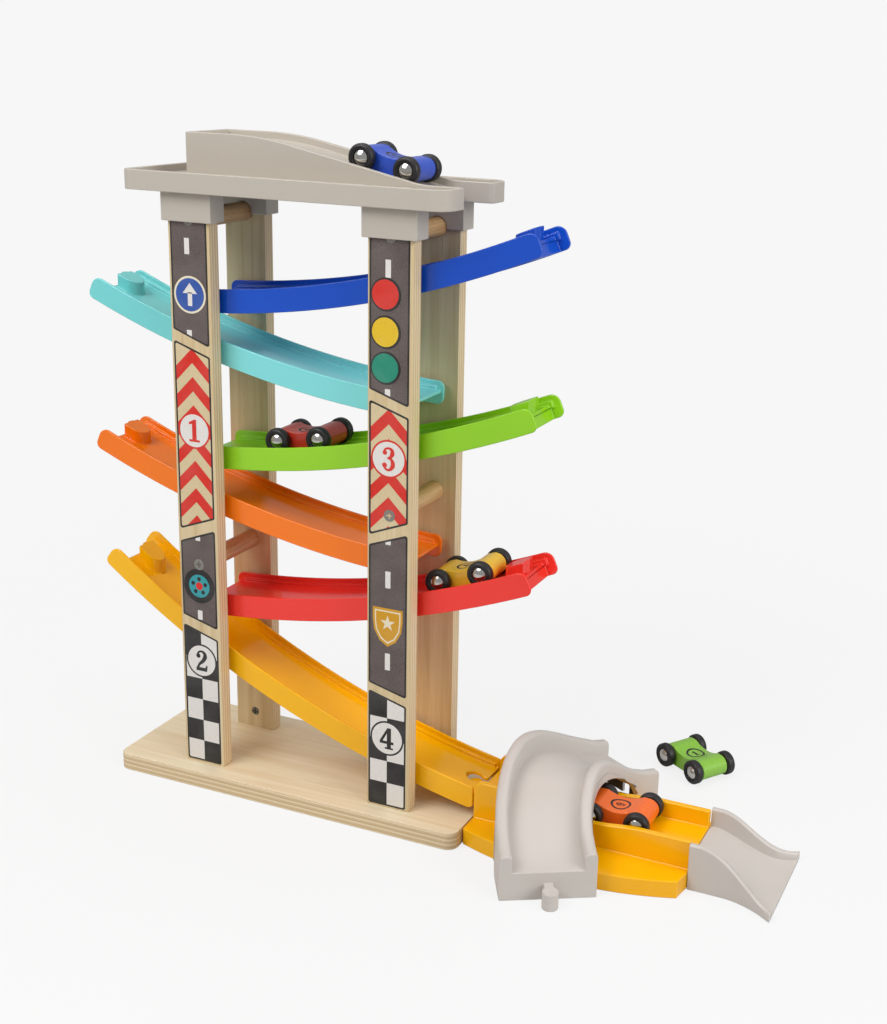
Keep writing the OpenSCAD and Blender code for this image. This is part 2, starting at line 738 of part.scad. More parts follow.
// The plinth's outline, drawn in by d
module plinth_outline(d) {
  intersection() {
    translate([plinth_mid_x, plinth_w / 2 - plinth_r]) circle(r = plinth_r - d, $fn = arc_fn);
    translate([plinth_mid_x, plinth_r - plinth_w / 2]) circle(r = plinth_r - d, $fn = arc_fn);
    polygon([[tunnel_x + d, -plinth_w], [tunnel_end_x - plinth_tip_l - d, -plinth_w],
      [tunnel_end_x - plinth_tip_l - d, -plinth_end_w / 2 + d], [tunnel_end_x - d, -plinth_tip_w / 2 + d],
      [tunnel_end_x - d, plinth_tip_w / 2 - d], [tunnel_end_x - plinth_tip_l - d, plinth_end_w / 2 - d],
      [tunnel_end_x - plinth_tip_l - d, plinth_w], [tunnel_x + d, plinth_w]]);
  }
}

// The tunnel track: a channel on a hollow plinth, with a connector at each end
module tunnel_track() {
  half = track_w / 2;
  inner = half - tunnel_wall;
  color("#FFC000") {
    difference() {
      union() {
        linear_extrude(height = plinth_h) plinth_outline(0);
        for (side = [-1, 1]) translate([0, side * (half - tunnel_wall / 2), 0])
          along_y(-tunnel_wall / 2, tunnel_wall / 2) tunnel_wall_side();
        along_y(-inner - over, inner + over) polygon(concat(tunnel_floor_line(0),
          [[tunnel_end_x, plinth_h - shell_t], [tunnel_x, plinth_h - shell_t]]));
      }
      translate([0, 0, -over]) linear_extrude(height = plinth_h - shell_t + over) plinth_outline(shell_t);
      along_y(-inner, inner) intersection() {
        polygon(concat(tunnel_floor_line(floor_t), [[tunnel_end_x, 0], [tunnel_x, 0]]));
        translate([tunnel_x + shell_t, 0]) square([tunnel_l - 2 * shell_t, tunnel_start_z]);
      }
    }
    translate([tunnel_x, 0, base_t + seat_gap * 2])
      linear_extrude(height = tunnel_knob_z - base_t - seat_gap * 2) knob_outline(0);
    translate([tunnel_end_x, 0, 0]) mirror([1, 0, 0])
      linear_extrude(height = knob_h) knob_outline(0);
  }
}

// A closed solid through rings of points
module skin(rings) {
  n = len(rings[0]);
  last = (len(rings) - 1) * n;
  polyhedron(
    points = [for (ring = rings, p = ring) p],
    faces = concat(
      [[for (i = [0 : n - 1]) i]],
      [for (k = [0 : len(rings) - 2], i = [0 : n - 1], half = [0, 1])
        let(a = k * n + i, b = k * n + (i + 1) % n)
        half == 0 ? [a, a + n, b] : [b, a + n, b + n]],
      [[for (i = [n - 1 : -1 : 0]) last + i]]));
}

bridge_mid_x = plinth_mid_x + bridge_set;
road_rise = bridge_h - parapet_h - outer_gain - road_end_z;
turn_l = bridge_r * bridge_turn * PI / 180;
road_half_l = turn_l + bridge_stub;
hump_power = 0.85;
bridge_steps = 24;
arch_n = 48;
turn_share = turn_l / road_half_l;

// Distances along the road's middle line: closer steps on the bend than on the stubs
road_stations = concat([-road_half_l, -(road_half_l + turn_l) / 2],
  [for (i = [0 : bridge_steps]) turn_l * (2 * i / bridge_steps - 1)],
  [(road_half_l + turn_l) / 2, road_half_l]);

// Height of the road at a distance s along its middle line
function road_z(s) = road_end_z + road_rise * pow(ease(1 - abs(s) / road_half_l), hump_power);
// Place in plan at a distance s along the road and u across it, with u towards the outside
function road_point(s, u) =
  let(a = max(-bridge_turn, min(bridge_turn, s / bridge_r * 180 / PI)), rest = abs(s) - turn_l,
    stub = rest > 0 ? sign(s) * rest : 0)
  [bridge_mid_x - (bridge_r + u) * cos(a) + stub * sin(a), (bridge_r + u) * sin(a) + stub * cos(a)];
// The road's stations between two distances
function stations(s0, s1) =
  concat([s0], [for (s = road_stations) if (s > s0 + over && s < s1 - over) s], [s1]);
// A ring of points of the road at s: each is [across, height over the road, height over the table]
function road_ring(s, section) =
  [for (p = section) let(q = road_point(s, p[0])) [q[0], q[1], p[1] * road_z(s) + p[2]]];

parapet_round = 2.2;

// Half of the bridge's section, from the foot up over the wall to the road
function parapet_half(w, t, top, road) = [[w, 0, 0], [w, 1, top - parapet_round],
  [w - parapet_round / 3, 1, top - parapet_round / 3], [w - parapet_round, 1, top],
  [w - t + parapet_round, 1, top], [w - t + parapet_round / 3, 1, top - parapet_round / 3],
  [w - t, 1, top - parapet_round], [w - t, 1, road]];
function mirrored(part) =
  [for (i = [len(part) - 1 : -1 : 0]) [-part[i][0], part[i][1], part[i][2]]];

// Heights of the outer and the inner wall over the road at a distance s
function outer_top(s) = parapet_h + outer_gain * ease(1 - abs(s) / road_half_l);
function inner_top(s) = parapet_h - inner_loss * ease(1 - abs(s) / road_half_l);

// The arch seen along the road of the tunnel, drawn out by d
module arch_outline(d) {
  translate([0, plinth_h]) polygon([for (i = [0 : arch_n]) let(a = 180 * i / arch_n)
    [(arch_half_w + d) * cos(a), (arch_h + d) * sin(a)]]);
  translate([-arch_half_w - d, -over]) square([2 * (arch_half_w + d), plinth_h + over]);
}

// A shape of the Y-Z plane, stretched along X through the whole bridge
module through_bridge() {
  translate([bridge_mid_x - 2 * bridge_r, 0, 0]) rotate([90, 0, 90])
    linear_extrude(height = 2 * bridge_r) children();
}

skin_t = 2.5;

// The bridge: a humped, curved road over the tunnel track, hollow below
module tunnel_bridge() {
  half = bridge_w / 2;
  end_x = road_point(-road_half_l, 0);
  far_x = road_point(road_half_l, 0);
  color("#D6CFC8") resize([0, 0, bridge_h]) difference() {
    union() {
      difference() {
        skin([for (s = stations(-road_half_l, road_half_l))
          road_ring(s, concat(parapet_half(half, parapet_t, outer_top(s), 0),
            mirrored(parapet_half(half, parapet_t, inner_top(s), 0))))]);
        skin([for (s = stations(-road_half_l + skin_t, road_half_l - skin_t))
          road_ring(s, concat(hollow_half(half, outer_top(s)),
            mirrored(hollow_half(half, inner_top(s)))))]);
      }
      intersection() {
        union() {
          brick_skin(half - ring_out, half + ring_out);
          brick_skin(-half - ring_out, -half + ring_out);
        }
        through_bridge() difference() {
          arch_outline(ring_w);
          arch_outline(0);
        }
      }
      translate([end_x[0], end_x[1], 0]) rotate([0, 0, 90 + bridge_turn])
        linear_extrude(height = knob_h) knob_outline(0);
    }
    through_bridge() arch_outline(0);
    translate([0, 0, -over])
      linear_extrude(height = plinth_h + lift_gap + over) plinth_outline(-lift_gap);
    translate([far_x[0], far_x[1], -over]) rotate([0, 0, 90 - bridge_turn])
      keyhole(knob_h + lift_gap + over);
  }
}

// A thin skin over a wall's face, in which the ring of bricks is cut out
module brick_skin(u0, u1) {
  skin([for (s = stations(-turn_l, turn_l))
    road_ring(s, [[u1, 0, 0], [u1, 1, 0], [u0, 1, 0], [u0, 0, 0]])]);
}

// Half of the section of the room under the road and inside the walls
function hollow_half(half, top) = [[half - skin_t, 0, -over], [half - skin_t, 1, top - skin_t],
  [half - parapet_t + skin_t, 1, top - skin_t], [half - parapet_t + skin_t, 1, -skin_t]];

exit_x = tunnel_end_x + lift_gap;
exit_steps = 24;
flare_start_share = 0.37;
tip_floor_z = 0.8;
exit_fall_share = 0.1;

// Half the ramp's width, and the heights of its wall and its floor, at a share t of its length
function exit_half_w(t) = exit_w / 2
  + (exit_tip_w - exit_w) / 2 * pow(max(0, t - flare_start_share) / (1 - flare_start_share), 2);
function exit_top_z(t) =
  exit_wall_z - (exit_wall_z - exit_tip_z) * ease((t - exit_fall_share) / (1 - exit_fall_share));
function exit_road_z(t) = exit_floor_z - (exit_floor_z - tip_floor_z) * ease(t);
// A ring of the ramp at a share t of its length
function exit_ring(t, w, top, road, wall) = let(x = exit_x + exit_l * t)
  [[x, w, 0], [x, w, top - wall / 4], [x, w - wall / 4, top], [x, w - wall * 3 / 4, top],
    [x, w - wall, top - wall / 4], [x, w - wall, road],
    [x, -w + wall, road], [x, -w + wall, top - wall / 4],
    [x, -w + wall * 3 / 4, top], [x, -w + wall / 4, top], [x, -w, top - wall / 4], [x, -w, 0]];

hollow_end_share = 0.72;

// The tongue at the end: it flares out and runs down to the table, hollow below
module exit_ramp() {
  color("#D6CFC8") resize([exit_l, exit_tip_w, exit_wall_z]) difference() {
    skin([for (i = [0 : exit_steps]) let(t = i / exit_steps)
      exit_ring(t, exit_half_w(t), exit_top_z(t), exit_road_z(t), exit_wall_t)]);
    skin([for (i = [0 : exit_steps]) let(t = skin_t / exit_l + i / exit_steps * hollow_end_share,
        w = exit_half_w(t) - skin_t, x = exit_x + exit_l * t, z = exit_road_z(t) - skin_t)
      [[x, w, -over], [x, w, z], [x, -w, z], [x, -w, -over]]]);
    translate([tunnel_end_x, 0, -over]) mirror([1, 0, 0]) keyhole(knob_h + key_room + over);
  }
}

// The places of the cars on what carries them, and of the green one on the table
blue_car_x = 55;
red_car_x = -6;
yellow_car_x = 116.6;
orange_car_x = 228;
green_car_x = 241;
green_car_y = 134;
green_car_turn = -33.6;

// Puts a car on a cross track, at a place along X
module on_track(i, x) {
  mid = arc_middle(run_tilt, top_run_z - i * run_pitch);
  axle_line_r = floor_r - lift_gap - wheel_r;
  drop = sqrt(pow(axle_line_r, 2) - pow(wheelbase / 2, 2)) + wheel_r;
  translate([mid[0], 0, mid[1]]) rotate([0, -arc_angle(x, run_tilt, floor_r), 0])
    translate([0, 0, -drop]) children();
}

module on_deck() {
  slope_z = ramp_top_z - ramp_wall_h - (blue_car_x + ramp_break_x) * tan(ramp_tilt);
  translate([blue_car_x, 0, slope_z]) rotate([0, ramp_tilt, 0])
    translate([0, 0, lift_gap]) children();
}

module in_tunnel() { translate([orange_car_x, 0, tunnel_floor_z + lift_gap]) children(); }

module on_table() {
  translate([green_car_x, green_car_y, 0]) rotate([0, 0, green_car_turn]) children();
}

// A car's body, along X with its middle at zero and its wheels' feet at height zero
module car_body() {
  waist_half = wheelbase / 2 - body_r / 2;
  waist_r = (pow(waist_half, 2) + pow(waist_drop, 2)) / (2 * waist_drop);
  difference() {
    along_y(-body_w / 2, body_w / 2) difference() {
      union() {
        for (x = [-wheelbase / 2, wheelbase / 2])
          translate([x, wheel_r]) circle(r = body_r, $fn = round_fn);
        translate([-wheelbase / 2, wheel_r - body_r]) square([wheelbase, 2 * body_r]);
      }
      translate([0, wheel_r + body_r - waist_drop + waist_r]) circle(r = waist_r, $fn = arc_fn);
    }
    for (x = [-wheelbase / 2, wheelbase / 2]) translate([x, body_w / 2 + over, wheel_r])
      rotate([90, 0, 0]) cylinder(r = axle_r + run_gap, h = body_w + 2 * over, $fn = round_fn);
  }
}

hub_depth = 1.6;
hub_rise = 0.9;
shoulder_r = 1.8;

// An axle with its two domed caps; end is 1 for the front one and -1 for the rear one
module car_axle(end) {
  dome_h = hub_depth + hub_rise;
  dome_r = (pow(hub_r, 2) + pow(dome_h, 2)) / (2 * dome_h);
  cap_y = car_w / 2 - hub_depth;
  color("#C4C2BE") translate([end * wheelbase / 2, 0, wheel_r]) {
    rotate([90, 0, 0]) translate([0, 0, -cap_y - dome_h / 2])
      cylinder(r = axle_r, h = 2 * cap_y + dome_h, $fn = round_fn);
    for (side = [0, 1]) mirror([0, side, 0]) translate([0, cap_y, 0]) rotate([-90, 0, 0])
      intersection() {
        translate([0, 0, dome_h - dome_r]) sphere(r = dome_r, $fn = round_fn);
        cylinder(r = hub_r, h = dome_h, $fn = round_fn);
      }
  }
}

hub_room = 0.5;

// The two wheels on an axle, with round shoulders and a recess for the cap
module car_wheels(end) {
  color("#1A1716") translate([end * wheelbase / 2, 0, wheel_r])
    for (side = [0, 1]) mirror([0, side, 0]) translate([0, car_w / 2 - wheel_w, 0]) rotate([-90, 0, 0])
      difference() {
        rotate_extrude($fn = arc_fn / 3) {
          translate([axle_r + press_gap, 0]) square([wheel_r - shoulder_r - axle_r - press_gap, wheel_w]);
          translate([wheel_r - 2 * shoulder_r, shoulder_r])
            square([2 * shoulder_r, wheel_w - 2 * shoulder_r]);
          for (y = [shoulder_r, wheel_w - shoulder_r]) translate([wheel_r - shoulder_r, y])
            circle(r = shoulder_r, $fn = round_fn);
        }
        translate([0, 0, wheel_w - hub_depth])
          cylinder(r = hub_r + hub_room, h = hub_depth + over, $fn = round_fn);
      }
}

module blue_car_body() { color("#2350C8") on_deck() car_body(); }
module blue_car_front_axle() { on_deck() car_axle(1); }
module blue_car_rear_axle() { on_deck() car_axle(-1); }
module blue_car_front_wheels() { on_deck() car_wheels(1); }
module blue_car_rear_wheels() { on_deck() car_wheels(-1); }

module red_car_body() { color("#C8301C") on_track(2, red_car_x) car_body(); }
module red_car_front_axle() { on_track(2, red_car_x) car_axle(-1); }
module red_car_rear_axle() { on_track(2, red_car_x) car_axle(1); }
module red_car_front_wheels() { on_track(2, red_car_x) car_wheels(-1); }
module red_car_rear_wheels() { on_track(2, red_car_x) car_wheels(1); }

module yellow_car_body() { color("#F2C230") on_track(4, yellow_car_x) car_body(); }
module yellow_car_front_axle() { on_track(4, yellow_car_x) car_axle(-1); }
module yellow_car_rear_axle() { on_track(4, yellow_car_x) car_axle(1); }
module yellow_car_front_wheels() { on_track(4, yellow_car_x) car_wheels(-1); }
module yellow_car_rear_wheels() { on_track(4, yellow_car_x) car_wheels(1); }

module orange_car_body() { color("#F2621C") in_tunnel() car_body(); }
module orange_car_front_axle() { in_tunnel() car_axle(1); }
module orange_car_rear_axle() { in_tunnel() car_axle(-1); }
module orange_car_front_wheels() { in_tunnel() car_wheels(1); }
module orange_car_rear_wheels() { in_tunnel() car_wheels(-1); }

module green_car_body() { color("#8CC63F") on_table() car_body(); }
module green_car_front_axle() { on_table() car_axle(1); }
module green_car_rear_axle() { on_table() car_axle(-1); }
module green_car_front_wheels() { on_table() car_wheels(1); }
module green_car_rear_wheels() { on_table() car_wheels(-1); }

base_board();
front_left_post();
front_right_post();
back_left_post();
back_right_post();
upper_left_dowel();
upper_right_dowel();
lower_left_dowel();
lower_right_dowel();
dowel_screws();
foot_bolts();
barrel_nuts();
top_deck();
blue_track();
teal_track();
green_track();
orange_track();
red_track();
yellow_track();
tunnel_track();
tunnel_bridge();
exit_ramp();
blue_car_body();
blue_car_front_axle();
blue_car_rear_axle();
blue_car_front_wheels();
blue_car_rear_wheels();
red_car_body();
red_car_front_axle();
red_car_rear_axle();
red_car_front_wheels();
red_car_rear_wheels();
yellow_car_body();
yellow_car_front_axle();
yellow_car_rear_axle();
yellow_car_front_wheels();
yellow_car_rear_wheels();
orange_car_body();
orange_car_front_axle();
orange_car_rear_axle();
orange_car_front_wheels();
orange_car_rear_wheels();
green_car_body();
green_car_front_axle();
green_car_rear_axle();
green_car_front_wheels();
green_car_rear_wheels();
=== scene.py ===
import json
from math import asin, cos, pi, radians, sin, sqrt, tan

import bmesh
import bpy
from mathutils import Matrix, Vector

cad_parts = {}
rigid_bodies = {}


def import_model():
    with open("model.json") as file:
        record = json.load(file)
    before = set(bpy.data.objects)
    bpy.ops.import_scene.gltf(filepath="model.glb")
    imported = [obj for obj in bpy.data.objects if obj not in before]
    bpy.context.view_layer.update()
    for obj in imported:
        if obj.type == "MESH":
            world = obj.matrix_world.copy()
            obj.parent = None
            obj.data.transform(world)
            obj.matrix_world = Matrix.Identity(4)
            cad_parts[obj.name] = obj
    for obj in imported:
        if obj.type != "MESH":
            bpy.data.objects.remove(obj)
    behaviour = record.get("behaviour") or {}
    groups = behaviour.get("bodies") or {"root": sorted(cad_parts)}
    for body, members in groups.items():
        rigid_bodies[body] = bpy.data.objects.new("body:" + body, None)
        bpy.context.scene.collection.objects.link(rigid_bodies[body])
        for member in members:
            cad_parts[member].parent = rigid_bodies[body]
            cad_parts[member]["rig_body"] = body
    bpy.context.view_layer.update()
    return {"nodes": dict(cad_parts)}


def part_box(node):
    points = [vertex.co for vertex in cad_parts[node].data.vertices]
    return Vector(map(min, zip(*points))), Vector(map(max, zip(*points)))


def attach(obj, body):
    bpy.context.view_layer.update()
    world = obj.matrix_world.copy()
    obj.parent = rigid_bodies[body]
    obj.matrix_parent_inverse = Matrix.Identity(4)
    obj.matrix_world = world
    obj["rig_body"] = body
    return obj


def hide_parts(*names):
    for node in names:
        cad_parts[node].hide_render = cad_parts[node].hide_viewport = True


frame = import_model()


# Base board
# A plank of 12 mm birch plywood, sawn out with round corners, sanded and lacquered clear.
# Four bolts through it hold the posts.

MM = 0.001


def colour(code):
    """A colour written as on screen, as the linear values that shaders take."""
    parts = [int(code[i:i + 2], 16) / 255 for i in (1, 3, 5)]
    return [p / 12.92 if p < 0.04045 else ((p + 0.055) / 1.055) ** 2.4 for p in parts] + [1.0]


def add(tree, kind, values=None, **settings):
    """A node with its settings; each value is set on its socket, or linked if it is one."""
    made = tree.nodes.new(kind)
    for key, value in settings.items():
        setattr(made, key, value)
    for key, value in (values or {}).items():
        if isinstance(value, bpy.types.NodeSocket):
            tree.links.new(value, made.inputs[key])
        else:
            made.inputs[key].default_value = value
    return made


def new_finish(name):
    """A material, its tree, its shader and the place on the piece that patterns follow."""
    material = bpy.data.materials.new(name)
    material.use_nodes = True
    tree = material.node_tree
    shader = tree.nodes["Principled BSDF"]
    place = add(tree, "ShaderNodeTexCoord").outputs["Object"]
    return material, tree, shader, place


def noise(tree, place, scale, detail=3.0, rough=0.5, warp=0.0):
    """Noise whose grains are about 1/scale metres; scale may differ along each axis."""
    stretch = scale if isinstance(scale, (list, tuple)) else [scale] * 3
    laid = add(tree, "ShaderNodeMapping", {"Vector": place, "Scale": stretch})
    values = {"Vector": laid.outputs[0], "Scale": 1.0, "Detail": detail, "Roughness": rough,
              "Distortion": warp}
    return add(tree, "ShaderNodeTexNoise", values).outputs["Fac"]


def ramp(tree, factor, stops):
    """Colours or grey levels laid over a factor."""
    made = add(tree, "ShaderNodeValToRGB", {"Fac": factor})
    band = made.color_ramp.elements
    while len(band) < len(stops):
        band.new(0.5)
    for element, (at, tone) in zip(band, stops):
        element.position = at
        element.color = tone if isinstance(tone, (list, tuple)) else [tone, tone, tone, 1.0]
    return made.outputs["Color"]


def blend(tree, factor, first, second):
    """Two colours mixed; the node takes them in its sockets 6 and 7, and gives the mix in 2."""
    return add(tree, "ShaderNodeMix", {0: factor, 6: first, 7: second}, data_type="RGBA").outputs[2]


def reckoned(tree, operation, *values):
    """The result of a Math node."""
    return add(tree, "ShaderNodeMath", dict(enumerate(values)), operation=operation).outputs[0]


def bumped(tree, shader, height, distance, strength=1.0):
    """Raises the surface by a height from 0 to 1 times the distance."""
    made = add(tree, "ShaderNodeBump", {"Height": height, "Distance": distance, "Strength": strength})
    tree.links.new(made.outputs[0], shader.inputs["Normal"])


def drawn_out(axis, along, across):
    """A noise scale whose grains are long along one axis."""
    stretch = [across] * 3
    stretch[axis] = along
    return stretch


# A surface is a face where this share of its normal lies along the stack of layers, else an edge
face_from = 0.72


def plywood(name, face, grain_axis, layer_axis, layer_t):
    """Birch plywood: long grain on its faces, thin layers on its edges, clear lacquer over both."""
    material, tree, shader, place = new_finish(name)
    figure = noise(tree, place, drawn_out(grain_axis, 6.0, 150.0), 5.0, 0.6, 0.8)
    pale, mid, deep = (colour(tone) for tone in face)
    wood = ramp(tree, figure, [(0.28, deep), (0.5, mid), (0.74, pale)])
    flecks = noise(tree, place, drawn_out(grain_axis, 90.0, 1500.0), 2.0)
    wood = blend(tree, ramp(tree, flecks, [(0.62, 0.0), (0.76, 0.22)]), wood, colour("#B2946A"))
    split = add(tree, "ShaderNodeSeparateXYZ", {"Vector": place})
    waver = reckoned(tree, "MULTIPLY_ADD", noise(tree, place, 60.0, 2.0), 0.12, 0.0)
    count = reckoned(tree, "MULTIPLY_ADD", split.outputs[layer_axis], 1 / (2 * layer_t), waver)
    layers = ramp(tree, reckoned(tree, "FRACT", count),
                  [(0.0, colour("#AE8C60")), (0.08, colour("#EEDCBA")), (0.46, colour("#E7D0A8")),
                   (0.51, colour("#B29068")), (0.58, colour("#D3B78B")), (0.94, colour("#DBC298"))])
    end_specks = noise(tree, place, 2600.0, 2.0)
    layers = blend(tree, ramp(tree, end_specks, [(0.57, 0.0), (0.78, 0.3)]), layers, colour("#AD8C60"))
    normal = add(tree, "ShaderNodeTexCoord").outputs["Normal"]
    facing = add(tree, "ShaderNodeSeparateXYZ", {"Vector": normal})
    level = reckoned(tree, "ABSOLUTE", facing.outputs[layer_axis])
    whole = blend(tree, reckoned(tree, "GREATER_THAN", level, face_from), layers, wood)
    tree.links.new(whole, shader.inputs["Base Color"])
    sheen_spots = noise(tree, place, 40.0, 3.0)
    tree.links.new(ramp(tree, sheen_spots, [(0.3, 0.40), (0.7, 0.55)]), shader.inputs["Roughness"])
    shader.inputs["Coat Weight"].default_value = 0.15
    shader.inputs["Coat Roughness"].default_value = 0.25
    bumped(tree, shader, figure, 0.12 * MM, 0.5)
    return material


# Points of a solid's mesh this near are one point, and faces bent less than this are one flat
weld_gap = 0.004 * MM
flat_angle = radians(0.6)


def merged_copy(node, name):
    """A piece of its own with a copy of the solid's mesh, merged, with one face for each flat."""
    mesh = frame["nodes"][node].data.copy()
    mesh.name = name
    mesh.materials.clear()
    for layer in ("custom_normal", "sharp_face", "sharp_edge"):
        if layer in mesh.attributes:
            mesh.attributes.remove(mesh.attributes[layer])
    while mesh.uv_layers:
        mesh.uv_layers.remove(mesh.uv_layers[0])
    piece = bpy.data.objects.new(name, mesh)
    bpy.context.scene.collection.objects.link(piece)
    work = bmesh.new()
    work.from_mesh(mesh)
    bmesh.ops.remove_doubles(work, verts=work.verts, dist=weld_gap)
    bmesh.ops.dissolve_limit(work, angle_limit=flat_angle, verts=work.verts, edges=work.edges)
    work.to_mesh(mesh)
    work.free()
    return piece


def applied(piece):
    """Turns a piece and its modifiers into a plain mesh."""
    bpy.context.view_layer.update()
    depsgraph = bpy.context.evaluated_depsgraph_get()
    mesh = bpy.data.meshes.new_from_object(
        piece.evaluated_get(depsgraph), preserve_all_data_layers=True, depsgraph=depsgraph)
    mesh.name = piece.name
    piece.modifiers.clear()
    piece.data = mesh
    return piece


def eased(piece, width, segments, crease):
    """Rounds a piece's edges by a width, and shades its curves smooth and its flats flat."""
    piece.data.shade_smooth()
    bevel = piece.modifiers.new("eased edges", "BEVEL")
    bevel.width = width
    bevel.segments = segments
    bevel.limit_method = "ANGLE"
    bevel.angle_limit = radians(crease)
    bevel.use_clamp_overlap = False
    bevel.harden_normals = True
    bevel.miter_outer = "MITER_ARC"
    return applied(piece)


def stands_for(piece, node):
    """The piece takes the place of a solid: it rides on its body, and the solid isn't shown."""
    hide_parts(node)
    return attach(piece, frame["nodes"][node]["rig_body"])


def dressed(node, name, finish, edge_r, segments=2, crease=32.0):
    """A copy of a solid with its edges rounded, in its finish, in the solid's place."""
    piece = eased(merged_copy(node, name), edge_r, segments, crease)
    piece.data.materials.append(finish)
    return stands_for(piece, node)


board_layer_t = 1.7 * MM
board_edge_r = 0.6 * MM
board_birch = plywood("birch_board_lacquered", ("#F0E3C8", "#EADBBB", "#E0CCA6"),
                      grain_axis=0, layer_axis=2, layer_t=board_layer_t)
dressed("base_board", "base_board_wood", board_birch, board_edge_r, 3)


# Foot bolts and barrel nuts
# A hex-socket bolt comes up through the board into each post and pulls on a steel cross nut
# that sits in a bore of the post, with the cross recess of its end showing between the posts.


def steel(name, tone, roughness, scratch=900.0):
    """Bare steel with fine scratches."""
    material, tree, shader, place = new_finish(name)
    haze = noise(tree, place, scratch, 3.0)
    tint = blend(tree, ramp(tree, haze, [(0.3, 0.0), (0.7, 1.0)]), colour(tone), colour("#B9B6B0"))
    tree.links.new(blend(tree, 0.35, colour(tone), tint), shader.inputs["Base Color"])
    shader.inputs["Metallic"].default_value = 0.9
    tree.links.new(ramp(tree, haze, [(0.25, roughness - 0.06), (0.75, roughness + 0.1)]),
                   shader.inputs["Roughness"])
    bumped(tree, shader, haze, 0.03 * MM, 0.4)
    return material


bolt_edge_r = 0.25 * MM
bolt_steel = steel("bolt_steel_zinc", "#A3A09A", 0.36)
dressed("foot_bolts", "foot_bolts_steel", bolt_steel, bolt_edge_r)

nut_edge_r = 0.15 * MM
nut_steel = steel("nut_steel_dark", "#6A6762", 0.42)
dressed("barrel_nuts", "barrel_nuts_steel", nut_steel, nut_edge_r)


# Posts
# Four uprights of 10 mm birch plywood, stood on the board, with bores for the tracks' pegs.
# Their faces are screen printed; the plies show on their narrow edges.

post_layer_t = 1.4 * MM
post_edge_r = 0.5 * MM
post_birch = plywood("printed_birch_wood", ("#E0CDA6", "#D6C096", "#C8AE80"),
                     grain_axis=2, layer_axis=1, layer_t=post_layer_t)
POSTS = ("front_left", "front_right", "back_left", "back_right")
for corner in POSTS:
    dressed(corner + "_post", corner + "_post_wood", post_birch, post_edge_r)


# Printed panels
# Each post's outer face has four panels, screen printed in thick ink: a road with dashes and a
# badge, red chevrons, another road and a chequered flag. The chevrons and the flag have a number.

panel_half_w = 14.1
outline_w = 1.3
panel_corner_r = 1.6
inner_corner_r = 1.0
ink_t = 0.03
print_top = 421.0
print_foot = 13.0
dash_half_w = 1.9
chevron_pitch = 19.35
chevron_t = 9.9
number_r = 12.6
number_rim_w = 1.25
figure_h = 15.5
# Shapes of one figure overlap, so each lies this share of a layer over the last
overlap_step = 0.05


def ink(name, tone, speck, speck_share, grain=1800.0, roughness=0.5):
    """Screen-printed ink with the specks and pinholes of the print."""
    material, tree, shader, place = new_finish(name)
    specks = noise(tree, place, grain, 2.0)
    cloud = noise(tree, place, 60.0, 3.0)
    base = blend(tree, ramp(tree, specks, [(0.62 - speck_share, 0.0), (0.70 - speck_share, 1.0)]),
                 colour(tone), colour(speck))
    worn = blend(tree, ramp(tree, cloud, [(0.35, 0.0), (0.8, 0.04)]), base, colour("#FFFFFF"))
    tree.links.new(worn, shader.inputs["Base Color"])
    tree.links.new(ramp(tree, cloud, [(0.3, roughness - 0.06), (0.7, roughness + 0.08)]),
                   shader.inputs["Roughness"])
    bumped(tree, shader, specks, 0.03 * MM, 0.35)
    return material


INKS = {
    "black": ink("ink_black", "#1A1716", "#2A2624", 0.05),
    "asphalt": ink("ink_asphalt", "#574A47", "#6E625D", 0.10, 1500.0),
    "white": ink("ink_white", "#E6E1DC", "#DAD4CD", 0.05),
    "red": ink("ink_red", "#D9230F", "#C41C0C", 0.06),
    "tan": ink("ink_tan", "#D9C59C", "#CFB98D", 0.08),
    "teal": ink("ink_teal", "#2C9AA2", "#268C94", 0.05),
    "green": ink("ink_green", "#0B8A6E", "#097A61", 0.05),
    "yellow": ink("ink_yellow", "#E6BE10", "#DBB00C", 0.05),
    "mustard": ink("ink_mustard", "#D49A10", "#C88E0C", 0.06),
    "blue": ink("ink_blue", "#2450A4", "#1F4896", 0.05),
    "cream": ink("ink_cream", "#EADFC4", "#DFD3B6", 0.05),
}
INK_ORDER = list(INKS)


def clipped(shape, window):
    """The part of a convex shape inside a convex window; both run anticlockwise."""
    for k in range(len(window)):
        (ax, az), (bx, bz) = window[k - 1], window[k]
        side = [(bx - ax) * (z - az) - (bz - az) * (x - ax) for x, z in shape]
        kept = []
        for i in range(len(shape)):
            j = (i + 1) % len(shape)
            if side[i] >= 0:
                kept.append(shape[i])
            if side[i] * side[j] < 0:
                t = side[i] / (side[i] - side[j])
                kept.append(tuple(shape[i][n] + t * (shape[j][n] - shape[i][n]) for n in (0, 1)))
        shape = kept
        if len(shape) < 3:
            return []
    return shape


def drawn_in(shape, d):
    """A convex shape drawn in by d."""
    lines = []
    for k in range(len(shape)):
        (ax, az), (bx, bz) = shape[k - 1], shape[k]
        length = sqrt((bx - ax) ** 2 + (bz - az) ** 2)
        nx, nz = -(bz - az) / length, (bx - ax) / length
        lines.append((nx, nz, nx * ax + nz * az + d))
    points = []
    for k in range(len(lines)):
        (n1x, n1z, c1), (n2x, n2z, c2) = lines[k], lines[(k + 1) % len(lines)]
        det = n1x * n2z - n1z * n2x
        points.append(((c1 * n2z - c2 * n1z) / det, (n1x * c2 - n2x * c1) / det))
    return points


